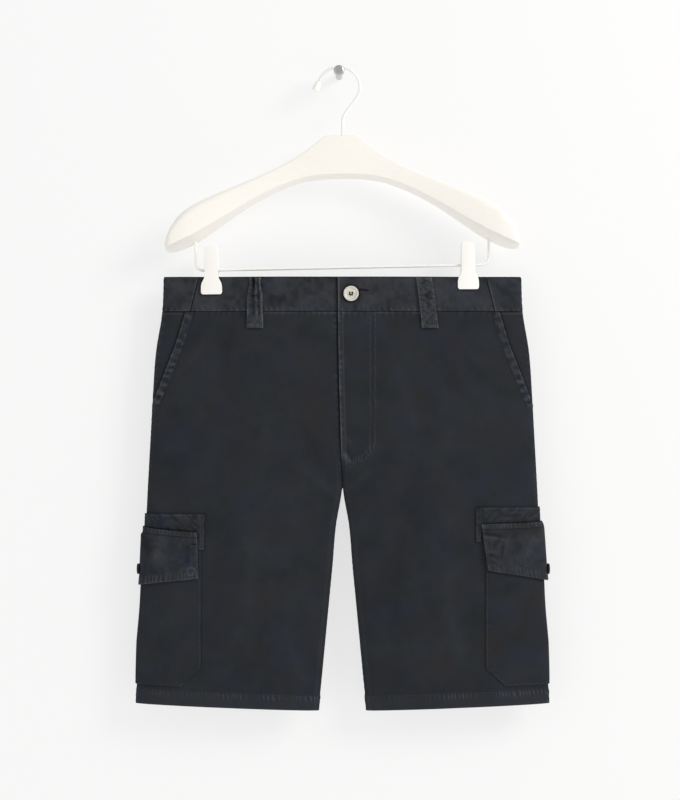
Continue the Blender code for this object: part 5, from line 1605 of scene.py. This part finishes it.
def clip_plate(name, x, height, face):
    build = bmesh.new()
    rows = []
    for row in CLIP_ROWS:
        corners = []
        for part, away in ((-1, 0), (1, 0), (1, CLIP_PLATE), (-1, CLIP_PLATE)):
            corners.append(build.verts.new((x + part * row.half_width, face * (row.away + away),
                                            height + row.z)))
        rows.append(corners)
    skin(build, rows)
    build.faces.new(rows[0])
    build.faces.new(rows[-1][::-1])
    return rounded_mesh(name, build, 0.5 * MM)


def clip_hinge(name, x, height):
    """The ring that turns on the bar."""
    build = bmesh.new()
    rings = []
    for end, radius in ((-1, BAR_WIRE + SEAM), (-1, CLIP_HINGE), (1, CLIP_HINGE),
                        (1, BAR_WIRE + SEAM)):
        rings.append([build.verts.new((x + end * HINGE_HALF,
                                       radius * cos(2 * pi * i / HINGE_SIDES),
                                       height + radius * sin(2 * pi * i / HINGE_SIDES)))
                      for i in range(HINGE_SIDES)])
    skin(build, rings + rings[:1])
    return rounded_mesh(name, build, 0.3 * MM, 2)


clips = {}
for word, x in CLIP_AT.items():
    height = BAR_Z + BAR_SLOPE * x / (BAR_X - BAR_BEND)
    for part, face in (("front", -1), ("back", 1)):
        name = f"clip_{word}_{part}"
        clips[name] = add_piece(name, clip_plate(name, x, height, face), PLASTIC,
                                name)
    name = f"clip_{word}_hinge"
    clips[name] = add_piece(name, clip_hinge(name, x, height), PLASTIC, name)

# %% Peg
PEG_PROFILE = ((0.0040, 0.0), (0.0040, 0.0405), (0.0042, 0.0412), (0.0050, 0.0420),
               (0.0058, 0.0425), (0.0063, 0.0432), (0.0064, 0.0440), (0.0064, 0.0482),
               (0.0062, 0.0490), (0.0057, 0.0495), (0.0048, 0.0499), (0.0038, 0.0500))
add_piece("wall_peg", placed(turned_mesh("wall_peg", PEG_PROFILE, 64), (0, -1, 0), (0, 0, 0)),
          PEG_STEEL, "wall_peg")
print(len(clips), "clip parts and the peg are in")

# %% [markdown]
# ## Stitches
# A lockstitch shows as a row of short thread lengths, about three to the centimetre apart on twill
# like this, each one sunk a little at its ends. Geometry Nodes follow a guide line on the cloth,
# set one short thread along it every pitch, and turn it along the line. Pitch, length and thickness
# are inputs, so one tree serves every seam.

# %% Stitch tree
def stitch_tree():
    """Node group: guide mesh in, separate thread lengths out."""
    tree = bpy.data.node_groups.new("lockstitch_row", "GeometryNodeTree")
    face = tree.interface
    face.new_socket("Guide", in_out="INPUT", socket_type="NodeSocketGeometry")
    for name, default in (("Pitch", 3.0 * MM), ("Thread Length", 2.1 * MM),
                          ("Thread Radius", 0.22 * MM), ("Wander", 0.2 * MM)):
        socket = face.new_socket(name, in_out="INPUT", socket_type="NodeSocketFloat")
        socket.default_value = default
    face.new_socket("Seed", in_out="INPUT", socket_type="NodeSocketInt").default_value = 7
    face.new_socket("Stitches", in_out="OUTPUT", socket_type="NodeSocketGeometry")
    given = add_node(tree, "NodeGroupInput").outputs
    line = add_node(tree, "GeometryNodeMeshToCurve", links={"Mesh": given["Guide"]})
    points = add_node(tree, "GeometryNodeCurveToPoints",
                      links={"Curve": line.outputs[0], "Length": given["Pitch"]}, mode="LENGTH")
    low = add_node(tree, "ShaderNodeMath", {1: -1.0}, {0: given["Wander"]}, operation="MULTIPLY")
    vary = add_node(tree, "FunctionNodeRandomValue",
                    links={"Min": low.outputs[0], "Max": given["Wander"], "Seed": given["Seed"]},
                    data_type="FLOAT_VECTOR")
    moved = add_node(tree, "GeometryNodeSetPosition",
                     links={"Geometry": points.outputs["Points"], "Offset": vary.outputs[0]})
    thread = add_node(tree, "GeometryNodeMeshCylinder", {"Vertices": 6, "Side Segments": 1},
                      {"Radius": given["Thread Radius"], "Depth": given["Thread Length"]},
                      fill_type="NGON")
    way = add_node(tree, "FunctionNodeAlignRotationToVector", None,
                   {"Vector": points.outputs["Tangent"]}, axis="Z")
    placed_threads = add_node(tree, "GeometryNodeInstanceOnPoints",
                              links={"Points": moved.outputs[0], "Instance": thread.outputs["Mesh"],
                                     "Rotation": way.outputs[0]})
    real = add_node(tree, "GeometryNodeRealizeInstances",
                    links={"Geometry": placed_threads.outputs[0]})
    coat = add_node(tree, "GeometryNodeSetMaterial", {"Material": THREAD},
                    {"Geometry": real.outputs[0]})
    add_node(tree, "NodeGroupOutput", links={"Stitches": coat.outputs[0]})
    return tree


STITCHES = stitch_tree()


def stitch_row(name, lines, pitch=3.0 * MM, length=2.1 * MM, radius=0.22 * MM, seed=7):
    """Plain mesh of the stitches along guide lines, lying on the cloth."""
    mesh = bpy.data.meshes.new(name)
    points, edges = [], []
    for line in lines:
        edges += [(len(points) + i, len(points) + i + 1) for i in range(len(line) - 1)]
        points += [tuple(point) for point in line]
    mesh.from_pydata(points, edges, [])
    helper = add_object(name, mesh)
    nodes = helper.modifiers.new("stitches", "NODES")
    nodes.node_group = STITCHES
    sockets = {item.name: item.identifier for item in STITCHES.interface.items_tree
               if item.in_out == "INPUT"}
    for socket, value in (("Pitch", pitch), ("Thread Length", length), ("Thread Radius", radius),
                          ("Wander", 0.15 * MM), ("Seed", seed)):
        nodes[sockets[socket]] = value
    return evaluated_mesh(helper)


print("stitch tree has", len(STITCHES.nodes), "nodes")

# %% Where the stitching runs
AIM_FROM = 0.08           # rays start this far in front of the garment or behind it


def on_cloth(obj, face, x, z):
    """Points on the outside of a finished piece, straight in from the front or the back."""
    found = []
    for spot_x, spot_z in zip(*np.broadcast_arrays(x, z)):
        start = Vector((spot_x + GARMENT_AT[0], GARMENT_AT[1] + face * AIM_FROM,
                        spot_z + GARMENT_AT[2]))
        hit, spot, normal, _ = obj.ray_cast(start, Vector((0, -face, 0)))
        if hit:
            found.append(spot + normal * 0.10 * MM)
    return found


def side_x(z):
    return curve_values(LEVELS, z, "side")


def panel_lines(face, side, obj):
    """Hem, inseam, seat or fly and pocket mouth stitching of one panel."""
    lines = []
    share = np.linspace(0.012, 0.965, 160)
    inner = inner_edge(side, face, np.array(HEM_Z + 0.012))
    x = inner + (side_x(HEM_Z) - inner) * share
    rise = HEM_RISE * share
    lines.append(on_cloth(obj, face, side * x, HEM_Z + HEM_BAND - 1.4 * MM + rise))
    z = np.linspace(-0.262, -0.500, 120)
    lines.append(on_cloth(obj, face, side * (curve_values(LEVELS, z, "inseam") + 7 * MM), z))
    if face > 0:
        z = np.linspace(-0.048, -0.236, 100)
        lines.append(on_cloth(obj, face, side * 6.5 * MM, z))
        lines.append(on_cloth(obj, face, side * (side_x(z) - 8 * MM), z))
    else:
        z = np.linspace(-0.046, -0.142, 70)
        slant = curve_values(HIP_SLANT, z, "x")
        lines.append(on_cloth(obj, face, side * (slant - 9.6 * MM), z))
        lines.append(on_cloth(obj, face, side * (slant - 1.8 * MM), z))
    x = np.linspace(8 * MM, 0.185, 130)
    lines.append(on_cloth(obj, face, side * x, -BAND_DEPTH - 2.2 * MM))
    return [line for line in lines if len(line) > 2]


def sewn(name, lines, seed, slot="garment_dyed_twill", **sizes):
    made = add_object(name, stitch_row(name, lines, seed=seed, **sizes))
    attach(made, "root")
    return made


stitches = {}
for word, side in (("left", 1), ("right", -1)):
    for part, face in (("front", -1), ("back", 1)):
        obj = panels[f"{part}_{word}"]
        lines = panel_lines(face, side, obj)
        if part == "front" and side > 0:
            z = np.linspace(-0.046, J_END_Z + 1.5 * MM, 130)
            for step in (0.0, 5.5 * MM):
                lines.append(on_cloth(obj, -1, j_line(z) - step, z + 0.1 * step))
        name = f"{part}_panel_{word}_stitches"
        stitches[name] = sewn(name, lines, 20 + len(stitches))
print({name: len(made.data.polygons) for name, made in stitches.items()})

# %% Stitching of the waistband, loops and cargo pieces
for word, side in (("left", 1), ("right", -1)):
    x = np.linspace(-0.004 if side > 0 else 0.008, 0.176, 130)
    low = on_cloth(bands[word], -1, side * x, -BAND_DEPTH + 1.6 * MM)
    name = f"waistband_{word}_stitches"
    stitches[name] = sewn(name, [low], 40 + side)
x = np.linspace(-0.205, 0.205, 240)
low = on_cloth(bands["back"], 1, x, -BAND_DEPTH + 1.6 * MM)
stitches["waistband_back_stitches"] = sewn("waistband_back_stitches", [low], 45)

for loop, made in zip(LOOPS, loops):
    z = np.linspace(-0.004, -0.060, 40)
    middle = loop.x + loop.lean * z / LOOP_BOTTOM_Z
    edges = [on_cloth(made, loop.face, middle + part * 7.2 * MM, z) for part in (-1, 1)]
    tack_x = loop.x + loop.lean + np.linspace(-7.6 * MM, 7.6 * MM, 40)
    tacks = [on_cloth(made, loop.face, tack_x, LOOP_BOTTOM_Z + 2.6 * MM + step)
             for step in (-0.4 * MM, 0.0, 0.4 * MM)]
    name = f"{loop.name}_stitches"
    lines = [line for line in edges + tacks if len(line) > 2]
    stitches[name] = sewn(name, lines, 50 + len(stitches), pitch=2.2 * MM, length=1.5 * MM)

for word, side in (("left", 1), ("right", -1)):
    sizes = CARGO[side]
    pocket, flap, strip = (cargo[f"{part}_{word}"] for part in ("pocket", "flap", "band"))
    for face in (-1, 1):
        part = "front" if face < 0 else "back"
        pocket_x = sizes.pocket_x if face < 0 else POCKET_BACK_X
        z = np.linspace(sizes.bottom - 0.006, POCKET_BOTTOM_Z + POCKET_CHAMFER, 70)
        lines = [on_cloth(pocket, face, side * (pocket_x + 1.8 * MM), z)]
        flap_x = sizes.foot_x if face < 0 else FLAP_BACK_X
        reach = np.linspace(0.05, 0.86, 60)
        x = flap_x + (side_x(sizes.bottom) - flap_x) * np.sin(pi / 2 * reach)
        lines.append(on_cloth(flap, face, side * x, sizes.bottom - sizes.point * reach + 9 * MM))
        lines.append(on_cloth(flap, face, side * x, sizes.top + sizes.top_rise * reach - 5.4 * MM))
        band_x = sizes.band_x if face < 0 else BAND_BACK_X
        x = band_x + (side_x(sizes.band_top) - band_x) * np.sin(pi / 2 * reach)
        lines.append(on_cloth(strip, face, side * x, sizes.band_top - 1.8 * MM))
        if face < 0:
            z = np.linspace(sizes.band_top - 0.003, sizes.tab_z + 0.001, 50)
            for step in (1.4 * MM, 5.0 * MM):
                lines.append(on_cloth(strip, face, side * (band_x + step), z))
            tack = np.linspace(band_x + 1.2 * MM, band_x + 5.2 * MM, 12)
            for step in (0.0, 0.5 * MM):
                lines.append(on_cloth(strip, face, side * tack,
                                      sizes.tab_z + 1.2 * MM + step))
        name = f"cargo_{word}_{part}_stitches"
        stitches[name] = sewn(name, [line for line in lines if len(line) > 2],
                              70 + len(stitches))
print(len(stitches), "groups of stitches")

# %% [markdown]
# ## Each piece's cut
# Every cloth piece carries flat coordinates in metres, and its width and length are the spread of
# those. Its area is half of the wall's own surface, rim included, and at most width times length. So
# these sizes describe the piece that shows; they don't check it.

# %% Sheets
def cut_size(piece):
    """The flat width, length and area of a cloth piece, from its flat coordinates."""
    flat = np.zeros(len(piece.data.loops) * 2)
    piece.data.uv_layers["cloth"].data.foreach_get("uv", flat)
    spread = np.ptp(flat.reshape(-1, 2), axis=0)
    work = bmesh.new()
    work.from_mesh(piece.data)
    area = sum(face.calc_area() for face in work.faces) / 2
    work.free()
    size = tuple(round(float(value), 4) for value in spread)
    return size, round(min(area, size[0] * size[1]), 5)


def cut_sheet(piece):
    size, area = cut_size(piece)
    print(piece.name, "was cut", size, "metres,", area, "square metres")


for where, piece in bands.items():
    clips = ("left", "right") if where == "back" else (where,)
    cut_sheet(piece)
for where, piece in panels.items():
    face, word = where.split("_")
    cut_sheet(piece)

# %% The smaller sheets
for word in ("left", "right"):
    cut_sheet(hips[word])
    cut_sheet(cargo[f"pocket_{word}"])
    cut_sheet(cargo[f"band_{word}"])
    cut_sheet(cargo[f"flap_{word}"])
cut_sheet(zip_tape)
cut_sheet(shield)
for piece in loops:
    name = piece.name.split(".")[0]
    cut_sheet(piece)


# %% [markdown]
# ## Stage, light and camera
# The room is a pale wall just behind the shorts and a pale floor below them. A large soft light
# stands at the upper right, a weak one at the left and one behind. All of them belong to the stage,
# not to the object. The wall shows only its front, so that the object can also be looked at from
# behind and from the side.

# %% Wall, floor and lights
def plane(name, corners, material):
    mesh = bpy.data.meshes.new(name)
    mesh.from_pydata(corners, [], [(0, 1, 2, 3)])
    made = add_object(name, mesh)
    mesh.materials.append(material)
    return made


def backdrop_material(name, colour, glow):
    """A matt, faintly lit studio sweep that lets light and sight through from behind."""
    made, tree, shader = new_material(name, colour, 0.9, Specular_IOR_Level=0.1,
                                      Emission_Strength=glow)
    shader.inputs["Emission Color"].default_value = hex_linear("#ffffff")
    facing = add_node(tree, "ShaderNodeNewGeometry")
    ray = add_node(tree, "ShaderNodeLightPath")
    clear = add_node(tree, "ShaderNodeBsdfTransparent")
    gone = add_node(tree, "ShaderNodeMath", None,
                    {0: facing.outputs["Backfacing"], 1: ray.outputs["Is Shadow Ray"]},
                    operation="MAXIMUM")
    mix = add_node(tree, "ShaderNodeMixShader", None,
                   {0: gone.outputs[0], 1: shader.outputs[0], 2: clear.outputs[0]})
    tree.links.new(mix.outputs[0], tree.nodes["Material Output"].inputs["Surface"])
    return made


def area_light(name, spot, aim, size, power, colour="#ffffff"):
    lamp = bpy.data.lights.new(name, "AREA")
    lamp.shape = "RECTANGLE"
    lamp.size, lamp.size_y = size
    lamp.energy = power
    lamp.color = hex_linear(colour)[:3]
    made = add_object(name, lamp)
    made.location = spot
    made.rotation_euler = (Vector(aim) - Vector(spot)).to_track_quat("-Z", "Y").to_euler()
    return made


WALL_Y = 0.0012
FLOOR_Z = -0.95
GLOW = 0.68
wall = plane("backdrop_wall", [(-4, WALL_Y, FLOOR_Z), (4, WALL_Y, FLOOR_Z),
                               (4, WALL_Y, 3), (-4, WALL_Y, 3)],
             backdrop_material("matt_wall_sweep", "#8d8d8d", GLOW))
floor = plane("backdrop_floor", [(-4, -5, FLOOR_Z), (4, -5, FLOOR_Z), (4, 5, FLOOR_Z),
                                 (-4, 5, FLOOR_Z)],
              backdrop_material("matt_floor_sweep", "#8d8d8d", GLOW))
CENTRE = (0.0, -0.03, -0.36)
key = area_light("key_light", (1.75, -1.6, 0.85), CENTRE, (1.0, 1.0), 34.0, "#fffaf4")
fill = area_light("fill_light", (-1.6, -2.2, 0.2), CENTRE, (1.8, 1.8), 5.0, "#f4f8ff")
rear = area_light("rear_light", (0.9, 2.0, 0.7), CENTRE, (1.6, 1.6), 24.0)

SKY_STRENGTH = 0.54
world = bpy.data.worlds.new("studio_white")
world.use_nodes = True
sky = world.node_tree.nodes["Background"]
sky.inputs["Color"].default_value = hex_linear("#ffffff")
sky.inputs["Strength"].default_value = SKY_STRENGTH
bpy.context.scene.world = world
bpy.context.scene.view_settings.view_transform = "Standard"

# %% Camera at the height of the middle of the shorts
CAMERA_AT = (0.0012, -2.436, -0.3936)
lens = bpy.data.cameras.new("front_camera")
lens.lens = 90.0
lens.sensor_width = 36.0
camera = add_object("front_camera", lens)
camera.location = CAMERA_AT
camera.rotation_euler = (radians(90), 0, 0)
bpy.context.scene.camera = camera
print("stage, lights and camera are set")

# %% [markdown]
# ## Finish

# %% Finish
print("finished")
